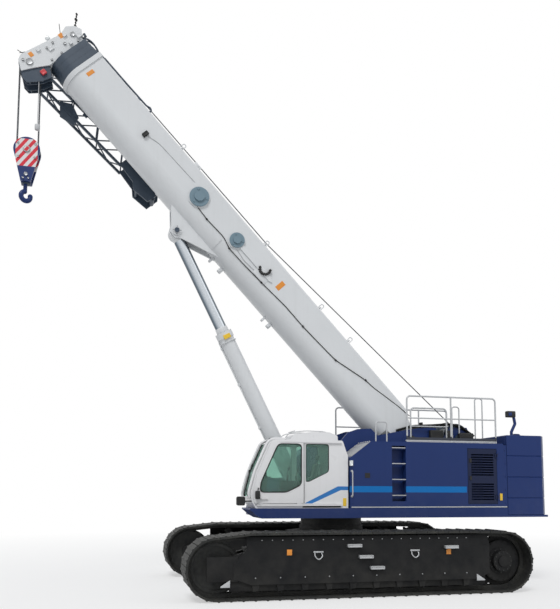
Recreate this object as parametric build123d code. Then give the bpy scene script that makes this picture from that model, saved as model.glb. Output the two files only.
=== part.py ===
from build123d import *
import os
from math import atan2, cos, degrees, hypot, pi, radians, sin, sqrt

# Telescopic-boom crawler crane, millimetres.
# X points forward, Y to the cab's side, Z up; the origin is the slew axis on the ground.

# Crawlers
track_gauge = 4600            # distance between the two track centre planes
shoe_width = 900
shoe_count = 68               # shoes in one loop
shoe_plate = 34               # shoe back to the foot of its lug
lug_height = 16
link_row_offset = 95          # link rows either side of the track's centre plane
link_row_width = 44
link_depth = 88               # links below the shoe plate
idler_x = 3330
idler_loop_radius = 670
drive_x = -3300
drive_loop_radius = 700
top_run_height = 1420
top_run_front_x = 2600
top_run_rear_x = -2400
roller_radius = 105
roller_count = 10
carrier_radius = 80
carrier_xs = (2250, -50, -2150)
wheel_gap = 0.3               # running gap of rollers, idler and teeth on the chain
sprocket_teeth = 21
side_frame_half_width = 330
side_frame_bottom = 400
side_frame_top = top_run_height - 335
side_frame_end_gap = 620      # end of the box to the nearer wheel's axle
side_frame_half_length = min(idler_x, -drive_x) - side_frame_end_gap
roller_first_x = side_frame_half_length - 180
roller_last_x = -side_frame_half_length + 320
roller_pitch = (roller_first_x - roller_last_x) / (roller_count - 1)
side_plate_overhang = 70      # outer guard plate below and above the box

# Carbody and slewing bearing
carbody_half_length = 1050
carbody_half_width = 900
carbody_bottom = 520
carbody_top = 1300
cross_beam_x = 880
cross_beam_half_width = 190
cross_beam_bottom = 600
cross_beam_top = 1040
race_inner_radius = 600
race_outer_radius = 800
race_top = 1450
race_gap = 0.3                # running gap between the fixed and the turning race

# Turning frame
frame_bottom = 1660
floor_thickness = 50
deck_top = 1890
deck_half_width = 1500
deck_rear_x = -4130
deck_front_x = 1250
cab_deck_front_x = 2120
nose_length = 280             # deck in front of the cab, above its sloping face
right_deck_front_x = 1900
skirt_thickness = 60
web_inner = 450               # inner faces of the two longitudinal web plates
web_thickness = 55
web_outer = web_inner + web_thickness
boom_pin_x = -2000
boom_pin_z = 3600
boom_pin_radius = 110
pin_boss_radius = 235
pin_fit = 0.3                 # radial clearance of pins in their bores
pin_head = 60

# Boom, in its own frame: s runs from the foot pin to the head, n is up from the boom's axis
boom_angle = 47.0
boom_half_width = 430
boom_top_n = 500
boom_bottom_n = -630
boom_wall = 26
section_step = 52             # each inner section is smaller by this all round
section_wall = 24
base_length = 12300
base_start = 620
section_start = 900
collar_length = 150
collar_gap = 6
collar_step = 8               # each collar is this much smaller than the one behind it
wear_gap = 0.3                # wear ring to the bore that it slides in
wear_ring_length = 160
ring_length = 120
ring_depth = 26
saddle_plate = 14
head_half_width = 300
head_plate = 32
sheave_s = base_length + 800
sheave_n = -960
sheave_radius = 255
sheave_width = 52
sheave_count = 4
sheave_groove = 26            # depth of the rope groove
guard_inner_y = 134           # inner guard plates, between the sheaves

# Luffing cylinder
luff_eye_s = 7850
luff_eye_n = -940
luff_foot_x = 740
luff_foot_z = 2070
luff_pin_radius = 75
luff_eye_radius = 185
luff_eye_half_width = 155
luff_barrel_radius = 195
luff_barrel_bore = 172
luff_rod_radius = 145
luff_barrel_length = 4650
luff_neck_length = 250
luff_rod_length = 4700
luff_piston_length = 220
ear_gap = 12                  # eye to the ears on each side
ear_thickness = 45

# Housings, counterweight, winches
housing_inner = 520
housing_top = 3480
housing_front_x = 0
housing_rear_x = -4040
chamfer_low_z = 3070
chamfer_top_x = -550
housing_wall = 20
right_housing_front_x = 900
niche_x = -1240                # ladder niche in the left housing
niche_width = 360
niche_bottom = 2050
niche_top = 3380
niche_depth = 210
niche_tread_zs = (3330, 2950, 2570, 2190)
grille_front_x = -3060
grille_rear_x = -3850
grille_bottom = 1990
grille_top = 3340
grille_thickness = 40
door_gap = 8
knuckle_radius = 17
hinge_x = grille_rear_x - 4
hinge_y = deck_half_width + knuckle_radius + 2
hinge_zs = (2150, 3180)
knuckle_half = 45
hinge_pin_radius = 9
counterweight_front_x = -4140
counterweight_rear_x = -5250
slab_top_zs = (2130, 2650, 3180, 3700)
slab_gap = 0.3
slab_corner = 130
slab_chamfer = 14
winch_x = -3350
winch_z = 3700
winch_low_x = -3680
winch_low_z = 2760
drum_radius = 270
flange_radius = 365
drum_half_width = 330

# Cab
cab_inner = web_outer + 55
cab_outer = deck_half_width - 45
cab_rear_x = 35
cab_top = 3480
cab_wall = 45
cab_nose_x = 2388
door_rear_x = 1135
door_bottom = 2005
door_top = 3405
door_edge = 42                # door's front edge to the cab's outline
door_thickness = 36
door_offset = 8
rail_top = 1990               # lower door rail

# Hook block
block_drop = 1816             # head sheaves' axle to the block's top
block_height = 1090
block_half_width = 305
block_half_thickness = 165
hook_drop = 490               # block's foot to the hook's lowest point
hook_ring_radius = 112
hook_thickness = 58
hook_start = 75               # the bar leaves the shank at this angle and bends on by the arc
hook_arc = 265
hook_turn = 28                # turn of the hook about its shank, degrees
rope_radius = 13

os.makedirs("parts", exist_ok=True)


def save(shape, name):
    export_step(shape, "parts/" + name + ".step")


def slab(x0, x1, y0, y1, z0, z1):
    return Pos((x0 + x1) / 2, (y0 + y1) / 2, (z0 + z1) / 2) * Box(abs(x1 - x0), abs(y1 - y0), abs(z1 - z0))


def prism(points, y0, y1):
    # an X-Z outline carried from y0 to y1
    face = make_face(Polyline(*points, close=True))
    return Pos(0, y1, 0) * extrude(Plane.XZ * face, amount=y1 - y0)


def prism_of(sketch, y0, y1):
    return Pos(0, y1, 0) * extrude(Plane.XZ * sketch, amount=y1 - y0)


def rounded(points):
    # rows: x, z and the corner's radius
    face = make_face(Polyline(*[(x, z) for x, z, radius in points], close=True))
    for x, z, radius in points:
        if radius:
            face = fillet(face.vertices().sort_by_distance((x, z, 0))[:1], radius)
    return face


def pipe(points, radius, bend):
    path = FilletPolyline(*points, radius=bend)
    return sweep((path ^ 0) * Circle(radius), path=path)


def rod_y(x, z, radius, y0, y1):
    return Pos(x, (y0 + y1) / 2, z) * Rot(90, 0, 0) * Cylinder(radius, abs(y1 - y0))


def rod_z(x, y, radius, z0, z1):
    return Pos(x, y, (z0 + z1) / 2) * Cylinder(radius, abs(z1 - z0))


def rod_x(x0, x1, y, z, radius):
    return Pos((x0 + x1) / 2, y, z) * Rot(0, 90, 0) * Cylinder(radius, abs(x1 - x0))


def bar(start, end, radius):
    a = Vector(*start)
    b = Vector(*end)
    return Plane(origin=a, z_dir=b - a) * Pos(0, 0, (b - a).length / 2) * Cylinder(radius, (b - a).length)


def beam(start, end, width):
    a = Vector(*start)
    b = Vector(*end)
    place = Plane(origin=a, z_dir=b - a, x_dir=(0, 1, 0))
    return place * Pos(0, 0, (b - a).length / 2) * Box(width, width, (b - a).length)


def lace(start, end, radius, cut):
    # a bar between two chord axes, its ends just inside the chords
    a = Vector(*start)
    b = Vector(*end)
    step = (b - a).normalized() * cut
    return bar(tuple(a + step), tuple(b - step), radius)


def group(solids):
    return Compound(children=list(solids))


def fuse(solids):
    return solids[0] + list(solids[1:])


def mirrored(shape):
    return mirror(shape, about=Plane.XZ)


boom_place = Location((boom_pin_x, 0, boom_pin_z), (0, -boom_angle, 0))


def boom_point(s, n, angle=boom_angle):
    a = radians(angle)
    return boom_pin_x + s * cos(a) - n * sin(a), boom_pin_z + s * sin(a) + n * cos(a)


eye_x, eye_z = boom_point(luff_eye_s, luff_eye_n)
luff_length = hypot(eye_x - luff_foot_x, eye_z - luff_foot_z)
luff_angle = degrees(atan2(eye_z - luff_foot_z, eye_x - luff_foot_x))
luff_place = Location((luff_foot_x, 0, luff_foot_z), (0, -luff_angle, 0))


# Track loop: an outline followed by its length, with its outward normal
def loop_runs():
    rear_top = drive_loop_radius * 2
    front_top = idler_loop_radius * 2
    corners = [
        (drive_x, 0), (idler_x, 0), (idler_x, front_top), (top_run_front_x, top_run_height),
        (top_run_rear_x, top_run_height), (drive_x, rear_top), (drive_x, 0),
    ]
    runs = []
    for index in range(len(corners) - 1):
        (x0, z0), (x1, z1) = corners[index], corners[index + 1]
        if x0 == x1:
            radius = abs(z1 - z0) / 2
            runs.append(("arc", x0, (z0 + z1) / 2, radius, -90 if z1 > z0 else 90, pi * radius))
        else:
            runs.append(("line", (x0, z0), (x1, z1), hypot(x1 - x0, z1 - z0)))
    return runs


track_runs = loop_runs()
track_length = sum(run[-1] for run in track_runs)


def loop_point(distance, depth):
    distance = distance % track_length
    for run in track_runs:
        if distance <= run[-1]:
            break
        distance -= run[-1]
    if run[0] == "line":
        (x0, z0), (x1, z1) = run[1], run[2]
        ux, uz = (x1 - x0) / run[-1], (z1 - z0) / run[-1]
        return x0 + ux * distance - uz * depth, z0 + uz * distance + ux * depth
    angle = radians(run[4]) + distance / run[3]
    radius = run[3] - depth
    return run[1] + radius * cos(angle), run[2] + radius * sin(angle)


def loop_face(depth):
    edges = []
    for run in track_runs:
        if run[0] == "line":
            edges.append(Line(run[1], run[2]))
        else:
            edges.append(CenterArc((run[1], run[2]), run[3], run[4], 180))
    return offset(make_face(edges), amount=-depth, kind=Kind.INTERSECTION)


def track_shoes():
    # columns: place along the shoe as a share of its pitch, depth below the lug tip
    shoe_outline = [
        (0.03, shoe_plate + lug_height), (0.03, lug_height), (0.40, lug_height),
        (0.46, 0), (0.56, 0), (0.62, lug_height), (0.97, lug_height), (0.97, shoe_plate + lug_height),
    ]
    pitch = track_length / shoe_count
    points = []
    for index in range(shoe_count):
        for share, depth in shoe_outline:
            points.append(loop_point((index + share) * pitch, depth))
    back = shoe_plate + lug_height + 12
    shoes = make_face(Polyline(*points, close=True)) - loop_face(back)
    links = loop_face(back - 6) - loop_face(back + link_depth)
    track = prism_of(shoes, -shoe_width / 2, shoe_width / 2)
    for side in (-1, 1):
        centre = side * link_row_offset
        track += prism_of(links, centre - link_row_width / 2, centre + link_row_width / 2)
    return track


chain_depth = shoe_plate + lug_height + 12 + link_depth
row_inner = link_row_offset - link_row_width / 2
row_outer = link_row_offset + link_row_width / 2


def drive_wheel():
    root = drive_loop_radius - chain_depth + 4
    tip = drive_loop_radius - shoe_plate - lug_height - 30
    points = []
    for tooth in range(sprocket_teeth):
        # columns: share of the tooth's pitch, radius
        for share, radius in ((0.0, root), (0.28, root), (0.42, tip), (0.58, tip), (0.72, root)):
            angle = 2 * pi * (tooth + share) / sprocket_teeth
            points.append((drive_x + radius * cos(angle), drive_loop_radius + radius * sin(angle)))
    rim = prism(points, -row_inner + 14, row_inner - 14)
    hub = rod_y(drive_x, drive_loop_radius, 300, -200, 190)
    cover = rod_y(drive_x, drive_loop_radius, 235, 190, 300)
    cap = rod_y(drive_x, drive_loop_radius, 120, 300, 335)
    return rim + hub + cover + cap


def idler_wheel():
    tread = idler_loop_radius - chain_depth - wheel_gap
    z = idler_loop_radius
    wheel = rod_y(idler_x, z, tread, -row_outer - 10, row_outer + 10)
    wheel += rod_y(idler_x, z, tread + 45, -row_inner + 12, row_inner - 12)
    wheel -= rod_y(idler_x, z, tread - 60, row_inner + 20, row_outer + 20)
    wheel -= rod_y(idler_x, z, tread - 60, -row_outer - 20, -row_inner - 20)
    return wheel + rod_y(idler_x, z, 110, -215, 215)


def roller_set():
    solids = []
    bottom_z = chain_depth + roller_radius + wheel_gap
    for index in range(roller_count):
        x = roller_first_x - index * roller_pitch
        roller = rod_y(x, bottom_z, roller_radius, -row_outer - 25, row_outer + 25)
        roller += rod_y(x, bottom_z, 42, -side_frame_half_width + 70, side_frame_half_width - 70)
        solids.append(roller)
    top_z = top_run_height - chain_depth - carrier_radius - wheel_gap
    for x in carrier_xs:
        roller = rod_y(x, top_z, carrier_radius, -row_outer - 20, row_outer + 20)
        roller += rod_y(x, top_z, 30, -190, 190)
        solids.append(roller)
    return solids


def track_frame():
    half = side_frame_half_width
    length = side_frame_half_length
    box = slab(-length, length, -half, half, side_frame_bottom, side_frame_top)
    box -= slab(-length + 60, length - 60, -half + 50, half - 50, side_frame_bottom + 50, side_frame_top - 50)
    z_axle = chain_depth + roller_radius + wheel_gap
    # roller brackets under the box
    for index in range(roller_count):
        x = roller_first_x - index * roller_pitch
        for side in (-1, 1):
            inner = side * (half - 70)
            ear = prism([(x - 95, side_frame_bottom + 5), (x + 95, side_frame_bottom + 5),
                         (x + 60, z_axle - 62), (x - 60, z_axle - 62)],
                        min(inner, side * half), max(inner, side * half))
            box += ear
    # carrier roller pedestals
    z_top = top_run_height - chain_depth - carrier_radius - wheel_gap
    for x in carrier_xs:
        for side in (-1, 1):
            box += slab(x - 60, x + 60, side * 190, side * 230, side_frame_top - 5, z_top + 45)
    # idler fork and drive plates
    fork = [(length - 20, side_frame_bottom + 30), (idler_x + 60, 520), (idler_x + 190, 600),
            (idler_x + 190, 760), (idler_x + 60, 830), (length - 20, side_frame_top - 60)]
    drive = [(-length + 20, side_frame_bottom + 20), (drive_x - 60, 430), (drive_x - 250, 560),
             (drive_x - 250, 840), (drive_x - 60, 980), (-length + 20, side_frame_top - 20)]
    for y0, y1 in ((-half, -215), (215, half)):
        box += prism(fork, y0, y1)
    box += prism(drive, -half, -200)
    # outer guard plate
    guard = [(-length - 260, side_frame_bottom + 60), (-length + 80, side_frame_bottom - side_plate_overhang),
             (length - 80, side_frame_bottom - side_plate_overhang), (length + 300, side_frame_bottom + 60),
             (length + 300, 760), (length - 60, side_frame_top + side_plate_overhang),
             (-length + 200, side_frame_top + side_plate_overhang), (-length - 120, side_frame_top - 40)]
    box += prism(guard, half - 4, half + 26)
    return box


def tread_steps():
    # columns: x, z of the three-bar step and the single step on the outer side plate
    solids = []
    y0 = side_frame_half_width + 26
    for x, z in ((330, 1120), (70, 880), (-190, 640), (-1960, 1060)):
        step = slab(x - 150, x + 150, y0, y0 + 95, z, z + 26)
        step += slab(x - 150, x - 124, y0, y0 + 95, z - 60, z + 5)
        step += slab(x + 124, x + 150, y0, y0 + 95, z - 60, z + 5)
        solids.append(step)
    return solids


def both_sides(shape_or_list, name, left_only=False):
    solids = shape_or_list if isinstance(shape_or_list, list) else [shape_or_list]
    for side, label in ((1, "left"), (-1, "right")):
        placed = []
        for solid in solids:
            one = solid if side == 1 else mirrored(solid)
            placed.append(Pos(0, side * track_gauge / 2, 0) * one)
        save(group(placed) if len(placed) > 1 else placed[0], name + "_" + label)


both_sides(track_shoes(), "track")
both_sides(drive_wheel(), "final_drive")
both_sides(idler_wheel(), "idler")
both_sides(roller_set(), "rollers")
both_sides(track_frame(), "track_frame")
both_sides(tread_steps(), "track_steps")


# Carbody with its cross beams
def carbody():
    half_y = track_gauge / 2 - side_frame_half_width
    plan = [(-1, -0.62), (-0.62, -1), (0.62, -1), (1, -0.62), (1, 0.62), (0.62, 1), (-0.62, 1), (-1, 0.62)]
    outline = [(carbody_half_length * x, carbody_half_width * y) for x, y in plan]
    body = Pos(0, 0, carbody_bottom) * extrude(make_face(Polyline(*outline, close=True)),
                                               amount=carbody_top - carbody_bottom)
    for side in (-1, 1):
        x = side * cross_beam_x
        body += slab(x - cross_beam_half_width, x + cross_beam_half_width, -half_y, half_y,
                     cross_beam_bottom, cross_beam_top)
    body -= Pos(0, 0, carbody_bottom) * Cylinder(380, 300)
    return body


save(carbody(), "carbody")
fixed_race = rod_z(0, 0, race_outer_radius, carbody_top, race_top)
fixed_race -= rod_z(0, 0, race_inner_radius, carbody_top - 1, race_top + 1)
save(fixed_race, "slew_race")
turning_race = rod_z(0, 0, race_outer_radius - 35, race_top + race_gap, frame_bottom)
turning_race -= rod_z(0, 0, race_inner_radius, race_top, frame_bottom + 1)
save(turning_race, "turntable_race")


# Turning frame: floor, skirts, nose, and the luffing cylinder's lugs
def turning_frame():
    floor_top = frame_bottom + floor_thickness
    plan = [(counterweight_rear_x, -deck_half_width), (right_deck_front_x, -deck_half_width),
            (right_deck_front_x, -web_inner - web_thickness), (deck_front_x, -web_inner - web_thickness),
            (deck_front_x, web_outer), (cab_deck_front_x, web_outer),
            (cab_deck_front_x, deck_half_width), (counterweight_rear_x, deck_half_width)]
    frame = Pos(0, 0, frame_bottom) * extrude(make_face(Polyline(*plan, close=True)), amount=floor_thickness)
    low = floor_top - 5
    rear = deck_rear_x
    skirts = [
        (rear, cab_deck_front_x, deck_half_width - skirt_thickness, deck_half_width),
        (rear, right_deck_front_x, -deck_half_width, -deck_half_width + skirt_thickness),
        (right_deck_front_x - skirt_thickness, right_deck_front_x, -deck_half_width, -web_outer),
        (deck_front_x, cab_deck_front_x, web_outer, web_outer + 45),
        (deck_front_x, right_deck_front_x, -web_outer - 45, -web_outer),
        (rear, rear + skirt_thickness, housing_inner, deck_half_width),
        (rear, rear + skirt_thickness, -deck_half_width, -housing_inner),
    ]
    for x0, x1, y0, y1 in skirts:
        frame += slab(x0, x1, y0, y1, low, deck_top)
    # sloping nose under the cab's front
    x1 = cab_deck_front_x
    nose = [(x1 - 60, frame_bottom), (x1, frame_bottom), (x1 + nose_length * 0.45, frame_bottom + 70),
            (x1 + nose_length, deck_top - 30), (x1 + nose_length, deck_top), (x1 - 60, deck_top)]
    frame += prism(nose, web_outer, deck_half_width)
    frame += slab(deck_front_x - 50, deck_front_x, -web_inner, web_inner, low, 1850)
    # foot lugs of the luffing cylinder
    lug_in = luff_eye_half_width + ear_gap
    lug = [(luff_foot_x - 330, low), (luff_foot_x + 330, low), (luff_foot_x + 130, luff_foot_z + 60),
           (luff_foot_x + 60, luff_foot_z + 150), (luff_foot_x - 60, luff_foot_z + 150),
           (luff_foot_x - 130, luff_foot_z + 60)]
    for y0, y1 in ((lug_in, lug_in + 60), (-lug_in - 60, -lug_in)):
        frame += prism(lug, y0, y1)
    frame -= rod_y(luff_foot_x, luff_foot_z, luff_pin_radius + pin_fit, -300, 300)
    frame -= rod_z(0, 0, 330, frame_bottom - 5, floor_top + 5)
    return frame


save(turning_frame(), "turning_frame")


# The two upright plates on the turning frame that hold the boom's foot
def boom_webs():
    low = frame_bottom + floor_thickness
    rear = deck_rear_x
    web = [(rear, low), (deck_front_x, low), (deck_front_x, 2080), (980, 2260), (-300, 3760), (-560, 3850),
           (-910, 3870), (-1100, 3700), (boom_pin_x + 110, 3860), (boom_pin_x - 380, 3930), (-2700, 3930),
           (-2760, 3700), (-2900, 2500), (-4000, 2320), (rear, 2320)]
    plates = []
    for sign in (-1, 1):
        inner, outer = sign * web_inner, sign * web_outer
        boss = outer + sign * 8
        plate = prism(web, min(inner, outer), max(inner, outer))
        plate += rod_y(boom_pin_x, boom_pin_z, pin_boss_radius, inner, boss)
        plate -= rod_y(boom_pin_x, boom_pin_z, boom_pin_radius + pin_fit, -700, 700)
        plates.append(plate)
    return plates


save(group(boom_webs()), "boom_webs")


# Housings: hollow bodies either side of the boom
def housing_outline(front_x, inset):
    run = housing_front_x - chamfer_top_x
    slope = (housing_top - chamfer_low_z) / run
    shift = inset * (sqrt(1 + slope * slope) - slope)
    return [(housing_rear_x + inset, deck_top + inset), (front_x - inset, deck_top + inset),
            (front_x - inset, chamfer_low_z - shift * 0.5),
            (front_x - run - inset * 0.6, housing_top - inset),
            (housing_rear_x + inset, housing_top - inset)]


def housing_left():
    body = prism(housing_outline(housing_front_x, 0), housing_inner, deck_half_width)
    body -= prism(housing_outline(housing_front_x, housing_wall), housing_inner + housing_wall,
                  deck_half_width - housing_wall)
    body -= slab(niche_x - niche_width / 2, niche_x + niche_width / 2, deck_half_width - 100,
                 deck_half_width + 10, niche_bottom, niche_top)
    body -= slab(grille_rear_x - door_gap, grille_front_x + door_gap, deck_half_width - 100,
                 deck_half_width + 10, grille_bottom - door_gap, grille_top + door_gap)
    # hinge ears and pins of the grille door
    for z in hinge_zs:
        body += rod_z(hinge_x, hinge_y, hinge_pin_radius, z - knuckle_half - 20, z + knuckle_half + 20)
        for low in (z - knuckle_half - 30, z + knuckle_half + wheel_gap):
            body += rod_z(hinge_x, hinge_y, knuckle_radius, low, low + 30)
            body += slab(hinge_x - 60, hinge_x, deck_half_width - 4, deck_half_width + 12, low, low + 30)
    return body


def step_pockets():
    # the ladder niche behind the housing's side, with its treads
    y1 = deck_half_width - housing_wall
    y0 = y1 - niche_depth
    half = niche_width / 2
    niche = slab(niche_x - half - 30, niche_x + half + 30, y0, y1, niche_bottom - 30, niche_top + 30)
    niche -= slab(niche_x - half, niche_x + half, y0 + 8, y1 + 1, niche_bottom, niche_top)
    for z in niche_tread_zs:
        niche += slab(niche_x - half - 5, niche_x + half + 5, y0 + 60, y1, z - 36, z - 8)
    return niche


def grille_door():
    x0, x1 = grille_rear_x, grille_front_x
    y0, y1 = deck_half_width - grille_thickness, deck_half_width
    door = slab(x0, x1, y0, y1, grille_bottom, grille_top)
    door -= slab(x0 + 10, x1 - 10, y0 - 1, y1 - 10, grille_bottom + 10, grille_top - 10)
    # columns: lower edge and upper edge of the two louvre fields
    louvre_pitch = 62
    for low, high in ((grille_bottom + 90, 2560), (2680, grille_top - 90)):
        count = int((high - low) / louvre_pitch)
        for index in range(count):
            z = low + index * louvre_pitch
            door -= slab(x0 + 90, x1 - 90, y1 - 20, y1 + 1, z, z + 34)
    for z in hinge_zs:
        door += slab(hinge_x, hinge_x + 60, y1 - 4, y1 + 14, z - knuckle_half, z + knuckle_half)
        door += rod_z(hinge_x, hinge_y, knuckle_radius, z - knuckle_half, z + knuckle_half)
        bore = hinge_pin_radius + pin_fit
        door -= rod_z(hinge_x, hinge_y, bore, z - knuckle_half - 1, z + knuckle_half + 1)
    return door


save(housing_left(), "housing_left")
save(step_pockets(), "step_pockets")
save(grille_door(), "grille_door")
housing_right = prism(housing_outline(right_housing_front_x, 0), -deck_half_width, -housing_inner)
housing_right -= prism(housing_outline(right_housing_front_x, housing_wall), -deck_half_width + housing_wall,
                       -housing_inner - housing_wall)
save(housing_right, "housing_right")
tank = slab(right_housing_front_x + 40, right_deck_front_x,
            -deck_half_width, -housing_inner - 40, deck_top, 2620)
tank = fillet(tank.edges().filter_by(Axis.Z), 60)
save(tank, "fuel_tank")
engine = slab(-3650, -1950, -deck_half_width + housing_wall + 200, -housing_inner - housing_wall - 160,
              deck_top + housing_wall, 2880)
save(engine, "engine_block")


# Counterweight slabs and the post behind the housing
def counterweight():
    solids = []
    bottom = frame_bottom + floor_thickness
    x0, x1 = counterweight_rear_x, counterweight_front_x
    half = deck_half_width
    for top in slab_top_zs:
        plan = [(x1, -half), (x1, half), (x0 + slab_corner, half), (x0, half - slab_corner),
                (x0, -half + slab_corner), (x0 + slab_corner, -half)]
        body = Pos(0, 0, bottom) * extrude(make_face(Polyline(*plan, close=True)), amount=top - bottom)
        rims = body.edges().group_by(Axis.Z)
        body = chamfer(rims[0] + rims[-1], slab_chamfer)
        # lifting-lug pockets in the upper face
        for side in (-1, 1):
            body -= slab(x0 + 420, x1 - 420, side * 1050 - 90, side * 1050 + 90, top - 70, top + 1)
        solids.append(body)
        bottom = top + slab_gap
    return solids


slabs = counterweight()
save(slabs[0], "counterweight_base")
save(group(slabs[1:]), "counterweight_slabs")


def rear_post():
    x, y, foot = -4480, 1180, slab_top_zs[-1]
    post = pipe([(x, y, foot), (x, y, foot + 110), (x - 110, y, foot + 320), (x - 70, y, foot + 530)], 38, 60)
    post += bar((x - 75, y, foot + 505), (x + 30, y, foot + 560), 34)
    post += slab(x - 90, x + 90, y - 90, y + 90, foot, foot + 20)
    return post + Pos(x + 60, y, foot + 560) * Rot(0, 90, 0) * Cylinder(78, 90)


save(rear_post(), "rear_post")


# Winches
def winch_frame():
    y0, y1 = 395, 437
    low = frame_bottom + floor_thickness
    side = [(-4080, low), (-3000, low), (-2990, 3350), (-2950, 3640), (-3130, 3960), (-3620, 3960),
            (-3780, 3640), (-4060, 3120)]
    solids = []
    for sign in (-1, 1):
        plate = prism(side, min(sign * y0, sign * y1), max(sign * y0, sign * y1))
        plate -= rod_y(winch_x, winch_z, 60 + pin_fit, -700, 700)
        plate -= rod_y(winch_low_x, winch_low_z, 60 + pin_fit, -700, 700)
        solids.append(plate)
    return fuse(solids + [slab(-4040, -3980, -y0 - 2, y0 + 2, low, 2300)])


def winch_drum(x, z):
    drum = rod_y(x, z, drum_radius, -drum_half_width, drum_half_width)
    for sign in (-1, 1):
        drum += rod_y(x, z, flange_radius, sign * drum_half_width, sign * (drum_half_width + 30))
    return drum + rod_y(x, z, 60, -436, 436)


save(winch_frame(), "winch_frame")
save(winch_drum(winch_x, winch_z), "winch_drum_upper")
save(winch_drum(winch_low_x, winch_low_z), "winch_drum_lower")


# Handrails on the housing roofs
def rail_run(first, last, middles, y, foot, top, mid):
    tube = 21
    rail = pipe([(first, y, foot), (first, y, top), (last, y, top), (last, y, foot)], tube, 95)
    rail += bar((first, y, mid), (last, y, mid), tube * 0.8)
    for x in middles:
        rail += rod_z(x, y, tube, foot, top)
    rail += slab(last, first, y - 6, y + 6, foot, foot + 120)
    return rail


def hoop(x0, x1, y, foot, top):
    return pipe([(x0, y, foot), (x0, y, top), (x1, y, top), (x1, y, foot)], 17, 70)


rail_y = deck_half_width - 60
inner_rail_y = housing_inner + 80
roof = housing_top
left_rail = [rail_run(-1490, -3880, (-2660,), rail_y, roof, roof + 1130, roof + 590),
             rail_run(-1960, -2960, (), inner_rail_y, roof, roof + 940, roof + 470),
             hoop(-3120, -3320, inner_rail_y, roof, roof + 1000),
             hoop(-3780, -3990, inner_rail_y, roof, roof + 1240),
             hoop(-850, -1140, 1000, roof, roof + 520)]
save(group(left_rail), "handrail_left")
save(rail_run(-620, -4000, (-1900, -3120), -rail_y, roof, roof + 1130, roof + 590), "handrail_right")
exhaust = rod_z(-2900, -1000, 95, housing_top, 3900)
exhaust += rod_z(-2900, -1000, 150, housing_top, housing_top + 60)
save(exhaust, "exhaust_stack")


# Boom
# rows: s and radius of the round fittings on the left side
side_discs = ((luff_eye_s + 250, 245), (luff_eye_s - 1150, 190))
arm_front = luff_eye_s - 1150 - 190
arm_rear = luff_eye_s - 2510
side_arm = [(arm_front, 45), (arm_front, -75), (arm_rear + 80, -70), (arm_rear, -30), (arm_rear + 80, 22)]


def boom_profile(level, extra=0.0):
    half = boom_half_width - level * section_step + extra
    top = boom_top_n - level * section_step + extra
    bottom = boom_bottom_n + level * section_step - extra
    arc_z = bottom + half
    shape = Pos(0, (top + arc_z) / 2) * Rectangle(2 * half, top - arc_z) + Pos(0, arc_z) * Circle(half)
    corners = shape.vertices().group_by(Axis.Y)[-1]
    return fillet(corners, 45)


def boom_run(level, extra, s0, s1):
    return Pos(s0, 0, 0) * extrude(Plane.YZ * boom_profile(level, extra), amount=s1 - s0)


def boom_foot():
    # side plates that narrow to the pin bosses
    outline = [(-60, -210), (base_start + 40, boom_bottom_n + 330), (base_start + 40, boom_top_n - 60),
               (60, 215), (-120, 190), (-210, 60), (-200, -80)]
    solids = []
    for sign in (-1, 1):
        y0, y1 = boom_half_width - 90, boom_half_width
        plate = prism(outline, min(sign * y0, sign * y1), max(sign * y0, sign * y1))
        plate += rod_y(0, 0, pin_boss_radius - 15, min(sign * y0, sign * y1), max(sign * y0, sign * y1))
        solids.append(plate)
    solids.append(rod_y(0, 0, boom_pin_radius + 45, -boom_half_width + 80, boom_half_width - 80))
    return fuse(solids)


def boom_base():
    body = boom_run(0, 0, base_start, base_length)
    body += boom_run(0, ring_depth, base_length - ring_length, base_length)
    # saddle plate around the belly at the cylinder's ears
    saddle = boom_run(0, saddle_plate, luff_eye_s - 900, luff_eye_s + 1100)
    body += saddle & slab(0, base_length, -600, 600, boom_bottom_n - 100, boom_bottom_n + 345)
    body += boom_foot()
    # pendant arm welded to the left side, a ring around each round fitting
    face = boom_half_width
    body += prism(side_arm, face - 2, face + 34)
    for s, radius in side_discs:
        ring = rod_y(s, 0, radius + 35, face - 2, face + 22) - rod_y(s, 0, radius, face, face + 23)
        body += ring
    # ears of the luffing cylinder under the belly
    ear_in = luff_eye_half_width + ear_gap
    ear = [(luff_eye_s - 1150, boom_bottom_n + 60), (luff_eye_s + 620, boom_bottom_n + 60),
           (luff_eye_s + 165, luff_eye_n - 30), (luff_eye_s + 95, luff_eye_n - 135),
           (luff_eye_s - 95, luff_eye_n - 145), (luff_eye_s - 200, luff_eye_n - 40)]
    for y0, y1 in ((ear_in, ear_in + ear_thickness), (-ear_in - ear_thickness, -ear_in)):
        body += prism(ear, y0, y1)
        boss0, boss1 = (y0, y1 + 30) if y0 > 0 else (y0 - 30, y1)
        body += rod_y(luff_eye_s, luff_eye_n, 120, boss0, boss1)
    body -= boom_run(0, -boom_wall, base_start + 30, base_length + 1)
    body -= rod_y(0, 0, boom_pin_radius + pin_fit, -boom_half_width - 20, boom_half_width + 20)
    return body


save(boom_place * boom_base(), "boom_base")


def wear_ring(level):
    outer_wall = boom_wall if level == 1 else section_wall
    return section_step - outer_wall - wear_gap


def boom_section(level):
    # a tube with its slate end collar; each collar stops short of the one before it
    start = section_start + (level - 1) * 60
    front = base_length + collar_gap + (level - 1) * (collar_length + collar_gap)
    body = boom_run(level, 0, start, front + collar_length)
    body += boom_run(level, wear_ring(level), start, start + wear_ring_length)
    body += boom_run(level, level * section_step - collar_step * level, front, front + collar_length)
    body -= boom_run(level, -section_wall, start - 1, front + collar_length + 1)
    return body


for level in (1, 2, 3):
    save(boom_place * boom_section(level), "boom_section_" + str(level + 1))

tip_level = 4
sheave_pitch = 2 * (head_half_width - head_plate) / sheave_count
tip_front = base_length + collar_gap + 3 * (collar_length + collar_gap)
top_sheave_s = tip_front + 285
top_sheave_n = 330


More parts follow.
